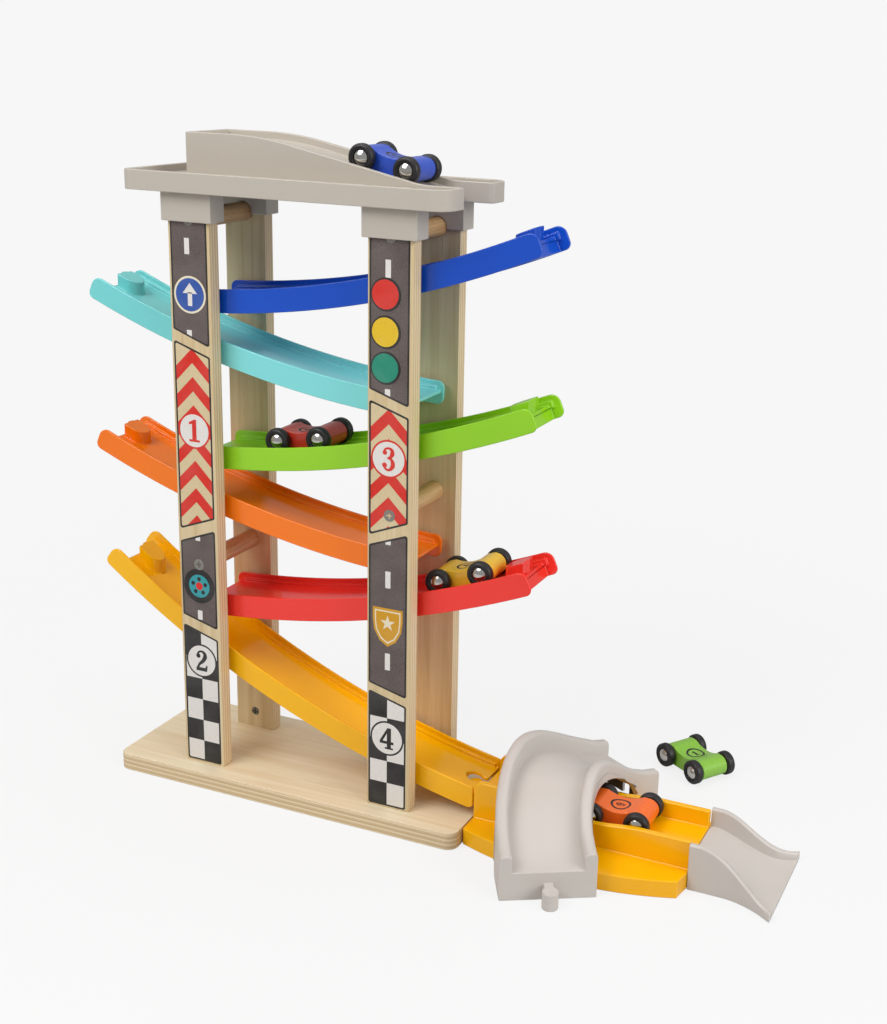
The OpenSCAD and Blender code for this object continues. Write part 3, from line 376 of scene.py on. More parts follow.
def softened(shape, r, steps=4):
    """A convex shape with its corners rounded."""
    points = []
    for k in range(len(shape)):
        before, corner, after = (Vector(shape[(k + n) % len(shape)]) for n in (-1, 0, 1))
        u, v = (before - corner).normalized(), (after - corner).normalized()
        half = u.angle(v) / 2
        middle = corner + (u + v).normalized() * (r / sin(half))
        first, last = corner + u * (r / tan(half)) - middle, corner + v * (r / tan(half)) - middle
        turn = first.angle_signed(last)
        for i in range(steps + 1):
            a = -turn * i / steps
            points.append((middle.x + first.x * cos(a) - first.y * sin(a),
                           middle.y + first.x * sin(a) + first.y * cos(a)))
    return points


def disc(x, z, r, count=40):
    """A round shape."""
    return [(x + r * cos(2 * pi * i / count), z + r * sin(2 * pi * i / count)) for i in range(count)]


def dot(x, z, r):
    """A small round shape."""
    return disc(x, z, r, 20)


def rectangle(x0, x1, z0, z1):
    """An upright rectangle."""
    return [(x0, z0), (x1, z0), (x1, z1), (x0, z1)]


def brush(points, widths, steps=5):
    """A smooth stroke through points, with its width at each, as a row of four-sided pieces."""
    line = []
    last = len(points) - 1
    for k in range(last):
        p = [Vector(points[min(max(k + n, 0), last)]) for n in (-1, 0, 1, 2)]
        for i in range(steps if k < last - 1 else steps + 1):
            t = i / steps
            at = 0.5 * (2 * p[1] + (p[2] - p[0]) * t + (2 * p[0] - 5 * p[1] + 4 * p[2] - p[3]) * t * t
                        + (3 * p[1] - p[0] - 3 * p[2] + p[3]) * t ** 3)
            line.append((at, widths[k] + (widths[k + 1] - widths[k]) * t))
    left, right = [], []
    for k, (at, width) in enumerate(line):
        along = (line[min(k + 1, len(line) - 1)][0] - line[max(k - 1, 0)][0]).normalized()
        aside = Vector((-along.y, along.x)) * width / 2
        left.append(tuple(at + aside))
        right.append(tuple(at - aside))
    return [[right[k], right[k + 1], left[k + 1], left[k]] for k in range(len(line) - 1)]


# Figures in a bold slab letter, drawn in a square from -0.5 to 0.5
FIGURES = {
    "1": [rectangle(-0.27, 0.27, -0.5, -0.4),
          [(-0.11, -0.42), (0.11, -0.42), (0.11, 0.5), (-0.11, 0.42)],
          [(-0.27, 0.26), (-0.09, 0.30), (0.10, 0.5), (0.0, 0.5), (-0.27, 0.36)]],
    "2": brush([(-0.19, 0.24), (-0.17, 0.38), (0.0, 0.46), (0.16, 0.38), (0.19, 0.21), (0.07, 0.0),
                (-0.12, -0.18), (-0.22, -0.40)],
               [0.12, 0.09, 0.09, 0.16, 0.21, 0.17, 0.12, 0.1])
         + [dot(-0.17, 0.23, 0.11),
            [(-0.29, -0.5), (0.27, -0.5), (0.3, -0.33), (-0.29, -0.33)],
            [(0.18, -0.34), (0.3, -0.34), (0.31, -0.2), (0.25, -0.2)]],
    "3": brush([(-0.2, 0.26), (-0.15, 0.41), (0.02, 0.46), (0.16, 0.38), (0.17, 0.22), (0.07, 0.07),
                (-0.05, 0.04)],
               [0.1, 0.09, 0.09, 0.16, 0.2, 0.12, 0.08])
         + brush([(-0.05, 0.04), (0.1, 0.01), (0.19, -0.12), (0.19, -0.29), (0.04, -0.46),
                  (-0.14, -0.42), (-0.22, -0.26)],
                 [0.08, 0.1, 0.18, 0.2, 0.1, 0.09, 0.1])
         + [dot(-0.17, 0.27, 0.1), dot(-0.18, -0.27, 0.11)],
    "4": [rectangle(0.0, 0.2, -0.5, 0.5), rectangle(-0.35, 0.32, -0.26, -0.13),
          [(-0.35, -0.14), (-0.21, -0.14), (0.14, 0.5), (0.02, 0.5)],
          rectangle(-0.1, 0.3, -0.5, -0.42)],
    "6": brush([(0.16, 0.34), (0.06, 0.46), (-0.1, 0.4), (-0.19, 0.14), (-0.2, -0.2), (-0.1, -0.42),
                (0.05, -0.46), (0.2, -0.3), (0.19, -0.08), (0.05, 0.04), (-0.14, -0.04)],
               [0.09, 0.08, 0.12, 0.19, 0.2, 0.13, 0.09, 0.18, 0.18, 0.09, 0.07])
         + [dot(0.15, 0.32, 0.09)],
}


def panel(bottom, top):
    """A panel whose ends may slope: their heights are given at its left and its right side."""
    return [(-panel_half_w, bottom[0]), (panel_half_w, bottom[1]),
            (panel_half_w, top[1]), (-panel_half_w, top[0])]


class Print:
    """Shapes of ink in layers, laid on a face or a curved top by a rule for their place."""

    def __init__(self, name, place):
        self.name, self.place, self.work = name, place, bmesh.new()

    def lay(self, tone, layer, *shapes):
        """Closed slabs of ink that reach up to a layer."""
        for shape in shapes:
            if len(shape) < 3:
                continue
            low = [self.work.verts.new(self.place(u, v, 0.0)) for u, v in shape]
            high = [self.work.verts.new(self.place(u, v, layer * ink_t)) for u, v in shape]
            rings = [low[::-1], high] + [[low[i - 1], low[i], high[i], high[i - 1]] for i in range(len(low))]
            for ring in rings:
                self.work.faces.new(ring).material_index = INK_ORDER.index(tone)

    def framed(self, shape, tone):
        """A panel with its black outline; returns the room inside it."""
        self.lay("black", 1, softened(shape, panel_corner_r))
        inner = drawn_in(shape, outline_w)
        self.lay(tone, 2, softened(inner, inner_corner_r))
        return inner

    def road(self, bottom, top, dashes, dash_x):
        """A road with white dashes, which stand dash_x off its middle."""
        inner = self.framed(panel(bottom, top), "asphalt")
        for z0, z1 in dashes:
            dash = rectangle(dash_x - dash_half_w, dash_x + dash_half_w, z0, z1)
            self.lay("white", 3, clipped(dash, inner))

    def chevrons(self, bottom, top, tops):
        """Red chevrons that point up, each by the height of its tip."""
        inner = self.framed(panel(bottom, top), "tan")
        reach = panel_half_w
        for z in tops:
            left = [(-reach, z - reach - chevron_t), (0, z - chevron_t), (0, z), (-reach, z - reach)]
            right = [(0, z - chevron_t), (reach, z - reach - chevron_t), (reach, z - reach), (0, z)]
            self.lay("red", 3, clipped(left, inner), clipped(right, inner))

    def chequers(self, bottom, top, rows):
        """A chequered flag, from the heights between its rows, the highest first."""
        inner = self.framed(panel((bottom, bottom), top), "white")
        highs, lows = [max(top)] + rows, rows + [bottom]
        for k, (low, high) in enumerate(zip(lows, highs)):
            sides = (0, panel_half_w) if k % 2 else (-panel_half_w, 0)
            self.lay("black", 3, clipped(rectangle(*sides, low, high), inner))

    def number(self, figure, z, rim, tone):
        """A figure on a white disc with a rim."""
        self.lay(rim, 4, disc(0, z, number_r))
        self.lay("white", 5, disc(0, z, number_r - number_rim_w))
        for k, shape in enumerate(FIGURES[figure]):
            self.lay(tone, 6 + overlap_step * k, [(figure_h * u, z + figure_h * v) for u, v in shape])

    def done(self):
        """A mesh of all that was laid, with closed shapes that face outwards."""
        bmesh.ops.recalc_face_normals(self.work, faces=self.work.faces)
        mesh = bpy.data.meshes.new(self.name)
        self.work.to_mesh(mesh)
        self.work.free()
        for finish in INKS.values():
            mesh.materials.append(finish)
        piece = bpy.data.objects.new(self.name, mesh)
        bpy.context.scene.collection.objects.link(piece)
        return piece


def arrow_badge(sheet, z):
    """A round blue road sign with a cream rim and a white arrow."""
    sign_r, field_r = 12.4, 11.0
    shaft_half_w, shaft_foot, shaft_top = 1.7, 7.4, 1.6
    head_half_w, head_foot, head_top = 5.6, 0.9, 7.8
    shaft = rectangle(-shaft_half_w, shaft_half_w, z - shaft_foot, z + shaft_top)
    head = [(-head_half_w, z + head_foot), (head_half_w, z + head_foot), (0, z + head_top)]
    sheet.lay("cream", 4, disc(0, z, sign_r))
    sheet.lay("blue", 5, disc(0, z, field_r))
    sheet.lay("white", 6, shaft, head)


def wheel_badge(sheet, z):
    """A tyre seen from its side, with a hub of five holes."""
    tyre_r, hub_r, middle_r = 12.6, 8.4, 2.8
    holes, hole_circle_r, hole_r = 5, 5.2, 1.5
    sheet.lay("black", 4, disc(0, z, tyre_r))
    sheet.lay("teal", 5, disc(0, z, hub_r))
    for i in range(holes):
        a = 2 * pi * i / holes
        sheet.lay("black", 6, dot(hole_circle_r * sin(a), z + hole_circle_r * cos(a), hole_r))
    sheet.lay("red", 6, disc(0, z, middle_r))


def star(x, z, r):
    """Triangles of a five-pointed star round a small pentagon."""
    count, dip_share = 5, 0.4
    tips = [(x + r * sin(2 * pi * i / count), z + r * cos(2 * pi * i / count)) for i in range(count)]
    dips = [(x + dip_share * r * sin(2 * pi * (i + 0.5) / count),
             z + dip_share * r * cos(2 * pi * (i + 0.5) / count)) for i in range(count)]
    return [[tips[i], dips[i - 1], dips[i]] for i in range(count)] + [dips[::-1]]


def shield_badge(sheet, z):
    """A mustard shield with a cream line round it and a star."""
    edge = [(0, -15), (6, -11), (10, -4), (11, 4), (11, 12), (-11, 12), (-11, 4), (-10, -4), (-6, -11)]
    line_share, field_share, star_r, star_rise = 0.86, 0.78, 5.6, 1.5
    sheet.lay("mustard", 4, [(u, z + v) for u, v in edge])
    sheet.lay("cream", 5, [(line_share * u, z + line_share * v) for u, v in edge])
    sheet.lay("mustard", 6, [(field_share * u, z + field_share * v) for u, v in edge])
    for shape in star(0, z + star_rise, star_r):
        sheet.lay("cream", 7, shape)


def left_panels(sheet):
    """Road with a badge, chevrons with a 1, road with a badge and chequers with a 2."""
    sheet.road((326.8, 316.4), (print_top, print_top), [(377.0, 387.5), (318.0, 327.0)], -1.4)
    arrow_badge(sheet, 350.5)
    sheet.chevrons((187.1, 197.5), (319.5, 309.9), [314.8 - chevron_pitch * k for k in range(7)])
    sheet.number("1", 258.4, "red", "red")
    sheet.road((124.2, 116.6), (178.6, 189.3), [(180.2, 183.5), (122.1, 129.0)], 0.0)
    wheel_badge(sheet, 147.0)
    sheet.chequers(print_foot, (117.2, 108.7), [93.2, 77.2, 61.2, 45.2, 29.2])
    sheet.number("2", 91.0, "black", "black")


def right_panels(sheet):
    """Road with signal lights, chevrons with a 3, road with a badge and chequers with a 4."""
    sheet.road((303.0, 293.6), (print_top, print_top), [(374.1, 385.2), (298.2, 304.0)], -1.0)
    light_x, light_r, rim_x, rim_r = -2.9, 9.3, -2.4, 10.6
    for z, tone in ((363.6, "red"), (340.0, "yellow"), (317.3, "green")):
        sheet.lay("black", 4, disc(rim_x, z, rim_r))
        sheet.lay(tone, 5, disc(light_x, z, light_r))
    sheet.chevrons((206.0, 216.9), (296.1, 286.8), [291.3 - chevron_pitch * k for k in range(5)])
    sheet.number("3", 258.6, "red", "red")
    sheet.road((102.2, 95.1), (199.5, 209.6), [(201.0, 203.9), (171.1, 182.7), (113.3, 125.2)], 0.0)
    shield_badge(sheet, 145.0)
    sheet.chequers(print_foot, (97.0, 89.3), [78.4, 62.5, 46.6, 30.4])
    sheet.number("4", 63.5, "black", "black")


# How far each print stands off the middle of its post
left_print_shift = 0.35 * MM
right_print_shift = 0.8 * MM

for corner in POSTS:
    low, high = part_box(corner + "_post")
    side = -1 if "front" in corner else 1
    middle_x, face_y = (low.x + high.x) / 2, low.y if side < 0 else high.y
    shift = left_print_shift if "left" in corner else right_print_shift

    def on_face(u, v, h, middle_x=middle_x, face_y=face_y, side=side, shift=shift):
        """A place on the outer face of the post, from mm across, up and off it."""
        return Vector((middle_x + shift * side - side * u * MM, face_y + side * h * MM, v * MM))

    sheet = Print(corner + "_post_print", on_face)
    (left_panels if "left" in corner else right_panels)(sheet)
    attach(sheet.done(), "tower")


# Dowels
# Round beech bars with a clear finish between the front and the back posts, two on each side.

dowel_edge_r = 0.3 * MM
DOWELS = ("upper_left", "upper_right", "lower_left", "lower_right")


def bar_wood(name):
    """Beech with its grain along Y and short dark flecks."""
    material, tree, shader, place = new_finish(name)
    figure = noise(tree, place, drawn_out(1, 14.0, 420.0), 4.0, 0.6, 0.4)
    flecks = noise(tree, place, drawn_out(1, 260.0, 2200.0), 2.0)
    tone = ramp(tree, figure,
                [(0.3, colour("#B98B57")), (0.55, colour("#CFA876")), (0.75, colour("#DDBB8C"))])
    tone = blend(tree, ramp(tree, flecks, [(0.6, 0.0), (0.7, 0.5)]), tone, colour("#8F6438"))
    tree.links.new(tone, shader.inputs["Base Color"])
    tree.links.new(ramp(tree, figure, [(0.3, 0.5), (0.7, 0.38)]), shader.inputs["Roughness"])
    bumped(tree, shader, figure, 0.1 * MM, 0.5)
    return material


beech = bar_wood("dowel_beech")
for place in DOWELS:
    dressed(place + "_dowel", place + "_dowel_wood", beech, dowel_edge_r)


# Dowel screws
# Countersunk steel screws with a cross recess, driven through the posts into the dowels' ends.
# The lower ones show whole on the printed faces, and the deck's caps half hide the upper ones.

head_r = 4.0 * MM
shank_r = 1.6 * MM
head_depth = 2.4 * MM
recess_l = 4.6 * MM
recess_w = 0.95 * MM
recess_depth = 1.3 * MM
screw_rise = 0.2 * MM
screw_finish = steel("screw_steel_dull", "#8F8B84", 0.34, 1400.0)


def new_tree(name, sizes):
    """A geometry tree that takes a mesh in and gives one out, with a named input for each size."""
    tree = bpy.data.node_groups.new(name, "GeometryNodeTree")
    tree.interface.new_socket("Geometry", in_out="INPUT", socket_type="NodeSocketGeometry")
    for label, value in sizes.items():
        kind = {float: "NodeSocketFloat", int: "NodeSocketInt"}.get(type(value))
        socket = tree.interface.new_socket(label, in_out="INPUT", socket_type=kind or "NodeSocketMaterial")
        if kind:
            socket.default_value = value
    tree.interface.new_socket("Geometry", in_out="OUTPUT", socket_type="NodeSocketGeometry")
    given = tree.nodes.new("NodeGroupInput").outputs
    return tree, given


def close_tree(tree, geometry, material):
    """Ends a tree: copies made real, with their material."""
    real = add(tree, "GeometryNodeRealizeInstances", {"Geometry": geometry})
    finished = add(tree, "GeometryNodeSetMaterial", {"Geometry": real.outputs[0], "Material": material})
    out = tree.nodes.new("NodeGroupOutput")
    tree.links.new(finished.outputs[0], out.inputs[0])


def grown(name, host_points, tree, values, attributes=None):
    """A plain mesh from a tree that is fed points and sizes."""
    mesh = bpy.data.meshes.new(name)
    mesh.from_pydata(host_points, [], [])
    for label, vectors in (attributes or {}).items():
        layer = mesh.attributes.new(label, "FLOAT_VECTOR", "POINT")
        layer.data.foreach_set("vector", [n for vector in vectors for n in vector])
    piece = bpy.data.objects.new(name, mesh)
    bpy.context.scene.collection.objects.link(piece)
    grower = piece.modifiers.new("grown", "NODES")
    grower.node_group = tree
    sockets = {s.name: s.identifier for s in tree.interface.items_tree if s.in_out == "INPUT"}
    for label, value in values.items():
        grower[sockets[label]] = value
    return applied(piece)


def screw_tree():
    """A screw head with its cross recess on each point, turned to the point's facing."""
    tree, given = new_tree("screw heads", {
        "Head radius": head_r, "Shank radius": shank_r, "Head depth": head_depth,
        "Recess length": recess_l, "Recess width": recess_w, "Recess depth": recess_depth,
        "Metal": None})
    head = add(tree, "GeometryNodeMeshCone", {
        "Vertices": 48, "Radius Top": given["Head radius"], "Radius Bottom": given["Shank radius"],
        "Depth": given["Head depth"]})
    double = reckoned(tree, "MULTIPLY", given["Recess depth"], 2.0)
    size = add(tree, "ShaderNodeCombineXYZ",
               {"X": given["Recess length"], "Y": given["Recess width"], "Z": double})
    bar = add(tree, "GeometryNodeMeshCube", {"Size": size.outputs[0]})
    raised = add(tree, "ShaderNodeCombineXYZ", {"Z": given["Head depth"]})
    arm = add(tree, "GeometryNodeTransform", {"Geometry": bar.outputs[0], "Translation": raised.outputs[0]})
    across = add(tree, "GeometryNodeTransform", {"Geometry": arm.outputs[0], "Rotation": (0.0, 0.0, pi / 2)})
    recess = tree.nodes.new("GeometryNodeMeshBoolean")
    recess.operation = "DIFFERENCE"
    recess.solver = "EXACT"
    tree.links.new(head.outputs[0], recess.inputs[0])
    tree.links.new(across.outputs[0], recess.inputs[1])
    tree.links.new(arm.outputs[0], recess.inputs[1])
    facing = add(tree, "GeometryNodeInputNamedAttribute", {"Name": "facing"}, data_type="FLOAT_VECTOR")
    turned = add(tree, "FunctionNodeAlignRotationToVector", {"Vector": facing.outputs[0]}, axis="Z")
    placed = add(tree, "GeometryNodeInstanceOnPoints", {
        "Points": given["Geometry"], "Instance": recess.outputs[0], "Rotation": turned.outputs[0]})
    close_tree(tree, placed.outputs[0], given["Metal"])
    return tree


screw_points, screw_facing = [], []
for corner in POSTS:
    low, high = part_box(corner + "_post")
    side = -1 if "front" in corner else 1
    face_y = (low.y if side < 0 else high.y) + side * screw_rise
    for level in ("lower_", "upper_"):
        dowel_low, dowel_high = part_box(level + corner.split("_")[1] + "_dowel")
        middle_z = (dowel_low.z + dowel_high.z) / 2
        screw_points.append(((low.x + high.x) / 2, face_y - side * head_depth, middle_z))
        screw_facing.append((0.0, side, 0.0))
screw_heads = grown("dowel_screw_heads", screw_points, screw_tree(), {"Metal": screw_finish},
                    {"facing": screw_facing})
stands_for(screw_heads, "dowel_screws")


# Tracks
# Six moulded channels, bent to one long arc, hung by pegs between the posts. Each has tall side
# walls with a ledge, a floor between them and a bump stop at its high end. Glossy plastic.


def moulded(name, tone, deep, roughness=0.16):
    """Glossy moulded plastic: a slow drift of tone, faint flow marks in the gloss, a smooth skin."""
    material, tree, shader, place = new_finish(name)
    drift = noise(tree, place, 5.0, 1.0)
    tint = blend(tree, ramp(tree, drift, [(0.35, 0.0), (0.7, 1.0)]), colour(tone), colour(deep))
    tree.links.new(tint, shader.inputs["Base Color"])
    flow = noise(tree, place, [12.0, 30.0, 30.0], 2.0)
    tree.links.new(ramp(tree, flow, [(0.2, roughness), (0.8, roughness + 0.03)]), shader.inputs["Roughness"])
    bumped(tree, shader, noise(tree, place, 900.0, 2.0), 0.006 * MM, 0.25)
    return material


track_edge_r = 0.7 * MM
# Each track's colour, and the deeper tone that it drifts to
TRACKS = {"blue": ("#1653CB", "#134ABB"), "teal": ("#84DEDE", "#77D3D3"), "green": ("#97D622", "#8AC91A"),
          "orange": ("#FF7F0A", "#F57404"), "red": ("#F83A2F", "#EC3026"), "yellow": ("#FFC000", "#FBB600")}
plastics = {tone: moulded(tone + "_plastic_gloss", *tones) for tone, tones in TRACKS.items()}
for tone in TRACKS:
    dressed(tone + "_track", tone + "_track_moulding", plastics[tone],
            track_edge_r, 3)


# Tunnel track
# The yellow piece that levels the last track out: a channel on a low hollow plinth, which hooks
# into the slot of the yellow track and takes the exit ramp at its far end.

tunnel_edge_r = 0.9 * MM
dressed("tunnel_track", "tunnel_track_moulding", plastics["yellow"],
        tunnel_edge_r, 3)


# Top deck
# A warm grey moulding capped over the four posts: two trays for cars, and between them the walled
# slope that sends a car down to the blue track.

deck_edge_r = 0.6 * MM
grey_roughness = 0.28
deck_plastic = moulded("deck_grey_plastic", "#C1B9AD", "#BDB5A9", grey_roughness)
dressed("top_deck", "top_deck_moulding", deck_plastic, deck_edge_r, 3)


# Bridge
# A humped, curved road moulded in pale grey plastic, which stands over the tunnel track and lifts
# off it. The real one has a ring of bricks round its arch.

stone_edge_r = 0.5 * MM
stone_crease = 40.0
stone_plastic = moulded("bridge_grey_plastic", "#CDC7C0", "#C9C2BB", grey_roughness)
dressed("tunnel_bridge", "tunnel_bridge_moulding", stone_plastic,
        stone_edge_r, crease=stone_crease)


# Exit ramp
# The pale plastic tongue hooked to the end of the tunnel track, which flares out and runs down to
# the table.

dressed("exit_ramp", "exit_ramp_moulding", stone_plastic,
        stone_edge_r, crease=stone_crease)


# Cars
# Five little racers: a block of beech with a hollowed waist, lacquered, with a number in a ring;
# two steel axles with domed chrome caps, and four black tyres with round shoulders.

# Each car's lacquer, its deeper tone and the car's number
CARS = {"blue": ("#2350C8", "#1B43B0", "2"), "red": ("#C8301C", "#B52814", "3"),
        "yellow": ("#F2C230", "#E6B422", "4"), "orange": ("#F8701E", "#EE6414", "6"),
        "green": ("#8CC63F", "#7FBA32", "1")}
car_w = 36.4
body_edge_r = 0.7 * MM
axle_r = 1.5
wheel_r = 8.75
wheel_w = 6.4
tyre_recess = 1.6
cap_r = 5.45
cap_rise = 2.2
# Depth under the tyre's face at which the cap's flat back lies, and the chamfer round that back
cap_seat = 1.55
cap_chamfer_h = 0.15
cap_chamfer_w = 0.2
dome_steps = 10
shoulder_steps = 6
turned_steps = 64
seam_gap = 0.001 * MM
turned_weld = 0.002 * MM
turned_crease = radians(50)
# The number lies in a ring on the hollow of the body's waist
ring_r = 6.9
ring_in_r = 5.4
ring_steps = 48
car_figure_w = 6.0
car_figure_h = 6.4
car_overlap_step = 0.1


def lacquered(name, tone, deep):
    """Coloured lacquer over beech: the wood's pores show faintly under a glossy coat."""
    material, tree, shader, place = new_finish(name)
    pores = noise(tree, place, [500.0, 900.0, 900.0], 3.0, 0.6)
    tint = blend(tree, ramp(tree, pores, [(0.4, 0.0), (0.8, 1.0)]), colour(tone), colour(deep))
    tree.links.new(tint, shader.inputs["Base Color"])
    tree.links.new(ramp(tree, pores, [(0.3, 0.36), (0.7, 0.48)]), shader.inputs["Roughness"])
    shader.inputs["Coat Weight"].default_value = 0.5
    shader.inputs["Coat Roughness"].default_value = 0.12
    bumped(tree, shader, pores, 0.05 * MM, 0.35)
    return material


def chrome(name):
    """Bright plating with faint smears."""
    material, tree, shader, place = new_finish(name)
    smear = noise(tree, place, 600.0, 2.0)
    tone = ramp(tree, smear, [(0.3, colour("#D9D6D2")), (0.7, colour("#C6C3BF"))])
    tree.links.new(tone, shader.inputs["Base Color"])
    shader.inputs["Metallic"].default_value = 1.0
    tree.links.new(ramp(tree, smear, [(0.3, 0.10), (0.7, 0.2)]), shader.inputs["Roughness"])
    bumped(tree, shader, smear, 0.03 * MM, 0.3)
    return material


def rubber(name):
    """Black plastic tyre with a satin skin."""
    material, tree, shader, place = new_finish(name)
    dust = noise(tree, place, 900.0, 3.0)
    tone = ramp(tree, dust, [(0.35, colour("#1A1718")), (0.8, colour("#2B2829"))])
    tree.links.new(tone, shader.inputs["Base Color"])
    tree.links.new(ramp(tree, dust, [(0.3, 0.36), (0.7, 0.5)]), shader.inputs["Roughness"])
    bumped(tree, shader, dust, 0.04 * MM, 0.4)
    return material


def turned_tree():
    """Two turned pieces, one at each end of an axle, from a profile's points.

    A point's X is its radius and its Y its distance from the axle's middle. The grid's columns
    follow the profile and its rows go round."""
    tree, given = new_tree("turned pair", {
        "Profile points": 2, "Steps round": turned_steps, "Finish": None})
    rows = reckoned(tree, "ADD", given["Steps round"], 1.0)
    grid = add(tree, "GeometryNodeMeshGrid", {
        "Size X": 1.0, "Size Y": 1.0, "Vertices X": given["Profile points"], "Vertices Y": rows})
    at = add(tree, "ShaderNodeSeparateXYZ", {"Vector": add(tree, "GeometryNodeInputPosition").outputs[0]})
    share = reckoned(tree, "ADD", at.outputs[0], 0.5)
    last = reckoned(tree, "SUBTRACT", given["Profile points"], 1.0)
    index = reckoned(tree, "ROUND", reckoned(tree, "MULTIPLY", share, last))
    sample = tree.nodes.new("GeometryNodeSampleIndex")
    sample.data_type = "FLOAT_VECTOR"
    tree.links.new(given["Geometry"], sample.inputs["Geometry"])
    tree.links.new(add(tree, "GeometryNodeInputPosition").outputs[0], sample.inputs["Value"])
    tree.links.new(index, sample.inputs["Index"])
    point = add(tree, "ShaderNodeSeparateXYZ", {"Vector": sample.outputs[0]})
    angle = reckoned(tree, "MULTIPLY", reckoned(tree, "ADD", at.outputs[1], 0.5), 2 * pi)
    x = reckoned(tree, "MULTIPLY", point.outputs[0], reckoned(tree, "SINE", angle))
    z = reckoned(tree, "MULTIPLY", point.outputs[0], reckoned(tree, "COSINE", angle))
    spun_at = add(tree, "ShaderNodeCombineXYZ", {"X": x, "Y": point.outputs[1], "Z": z})
    spun = add(tree, "GeometryNodeSetPosition",
               {"Geometry": grid.outputs[0], "Position": spun_at.outputs[0]})
    closed = add(tree, "GeometryNodeMergeByDistance",
                 {"Geometry": spun.outputs[0], "Distance": seam_gap})
    ends = add(tree, "GeometryNodeMeshLine", {"Count": 2, "Offset": (0.0, 0.0, 0.0)})
    about = reckoned(tree, "MULTIPLY", add(tree, "GeometryNodeInputIndex").outputs[0], pi)
    rotation = add(tree, "ShaderNodeCombineXYZ", {"Z": about})
    pair = add(tree, "GeometryNodeInstanceOnPoints", {
        "Points": ends.outputs[0], "Instance": closed.outputs[0], "Rotation": rotation.outputs[0]})
    close_tree(tree, pair.outputs[0], given["Finish"])
    return tree


def quarter(radius, middle, a0, a1, steps):
    """Points of a bend, at angles from the outward axis."""
    return [(middle[0] + radius * cos(radians(a0 + (a1 - a0) * i / steps)),
             middle[1] + radius * sin(radians(a0 + (a1 - a0) * i / steps))) for i in range(steps + 1)]


outer_y = car_w / 2
inner_y = outer_y - wheel_w
shoulder = 1.9
TYRE = ([(axle_r, inner_y), (5.4, inner_y), (5.8, inner_y + 0.3), (6.2, inner_y)]
        + quarter(shoulder, (wheel_r - shoulder, inner_y + shoulder), -90, 0, shoulder_steps)
        + quarter(shoulder, (wheel_r - shoulder, outer_y - shoulder), 0, 90, shoulder_steps)
        + [(6.5, outer_y), (6.3, outer_y - 0.4), (5.9, outer_y - 0.4), (5.7, outer_y - 0.05),
           (5.35, outer_y - 0.15), (5.15, outer_y - 0.5), (5.1, outer_y - tyre_recess),
           (axle_r, outer_y - tyre_recess), (axle_r, inner_y)])
cap_y = outer_y - cap_seat
dome_r = (cap_r ** 2 + cap_rise ** 2) / (2 * cap_rise)
AXLE = ([(axle_r, 0.0), (axle_r, cap_y), (cap_r - cap_chamfer_w, cap_y),
         (cap_r, cap_y + cap_chamfer_h)]
        + [(dome_r * sin(a), cap_y + cap_chamfer_h + dome_r * cos(a) - dome_r + cap_rise)
           for a in [asin(cap_r / dome_r) * (1 - i / dome_steps) for i in range(1, dome_steps + 1)]])

pair_tree = turned_tree()
tyre_black = rubber("tyre_black_satin")
cap_chrome = chrome("axle_cap_chrome")


def turned_pair(name, profile, finish, stance):
    """Two turned pieces at the ends of an axle, with faces outwards and corners sharp."""
    piece = grown(name, [(r * MM, y * MM, 0.0) for r, y in profile], pair_tree,
                  {"Profile points": len(profile), "Steps round": turned_steps, "Finish": finish})
    piece.data.transform(stance)
    work = bmesh.new()
    work.from_mesh(piece.data)
    bmesh.ops.remove_doubles(work, verts=work.verts, dist=turned_weld)
    bmesh.ops.recalc_face_normals(work, faces=work.faces)
    work.to_mesh(piece.data)
    work.free()
    piece.data.shade_smooth()
    piece.data.set_sharp_from_angle(angle=turned_crease)
    return piece


# The waist is an arc that sinks by waist_drop between the round ends over the axles
body_r = 7.3
half_wheelbase = 16.0
waist_drop = 3.2
waist_half = half_wheelbase - body_r / 2
waist_r = (waist_half ** 2 + waist_drop ** 2) / (2 * waist_drop)

for tone, (shade, deep, figure) in CARS.items():
    car = tone + "_car_"
    front, rear = (sum(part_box(car + end + "_axle"), Vector()) / 2 for end in ("front", "rear"))
    along = (front - rear).normalized()
    across = Vector((0, 0, 1)).cross(along).normalized()
    stance = Matrix((along, across, along.cross(across))).transposed().to_4x4()
    stance.translation = (front + rear) / 2
    body = dressed(car + "body", car + "body_wood", lacquered(car + "lacquer", shade, deep),
                   body_edge_r, 3)

    def on_waist(u, v, h, stance=stance):
        """A place on the hollow of the waist, from mm along, across and off it."""
        top = body_r - waist_drop + waist_r - sqrt(waist_r ** 2 - u * u)
        return stance @ Vector((u * MM, v * MM, (top + h) * MM))

    decal = Print(car + "number_print", on_waist)
    # The green car's number stands the other way round on its body
    upright = -1 if tone == "green" else 1
    outer = disc(0, 0, ring_r, ring_steps)
    inner = disc(0, 0, ring_in_r, ring_steps)
    for i in range(ring_steps):
        decal.lay("black", 1, [outer[i - 1], outer[i], inner[i], inner[i - 1]])
    for k, shape in enumerate(FIGURES[figure]):
        decal.lay("black", 1 + car_overlap_step * k,
                  [(upright * car_figure_h * v, -upright * car_figure_w * u) for u, v in shape])
    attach(decal.done(), body["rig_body"])

    for end, centre in (("front", front), ("rear", rear)):
        stance.translation = centre
        axle = turned_pair(car + end + "_axle_and_caps", AXLE, cap_chrome, stance)
        stands_for(axle, car + end + "_axle")
        tyres = turned_pair(car + end + "_tyres", TYRE, tyre_black, stance)
        stands_for(tyres, car + end + "_wheels")


# Table, light and camera
# A pale table under soft studio light, seen from the right of the front and a little above.

table_reach = 6.0
# The table's own glow rises between these distances, from near_glow to all of the background
glow_from = 0.35
glow_to = 1.1
near_glow = 0.8
room_light = 0.4

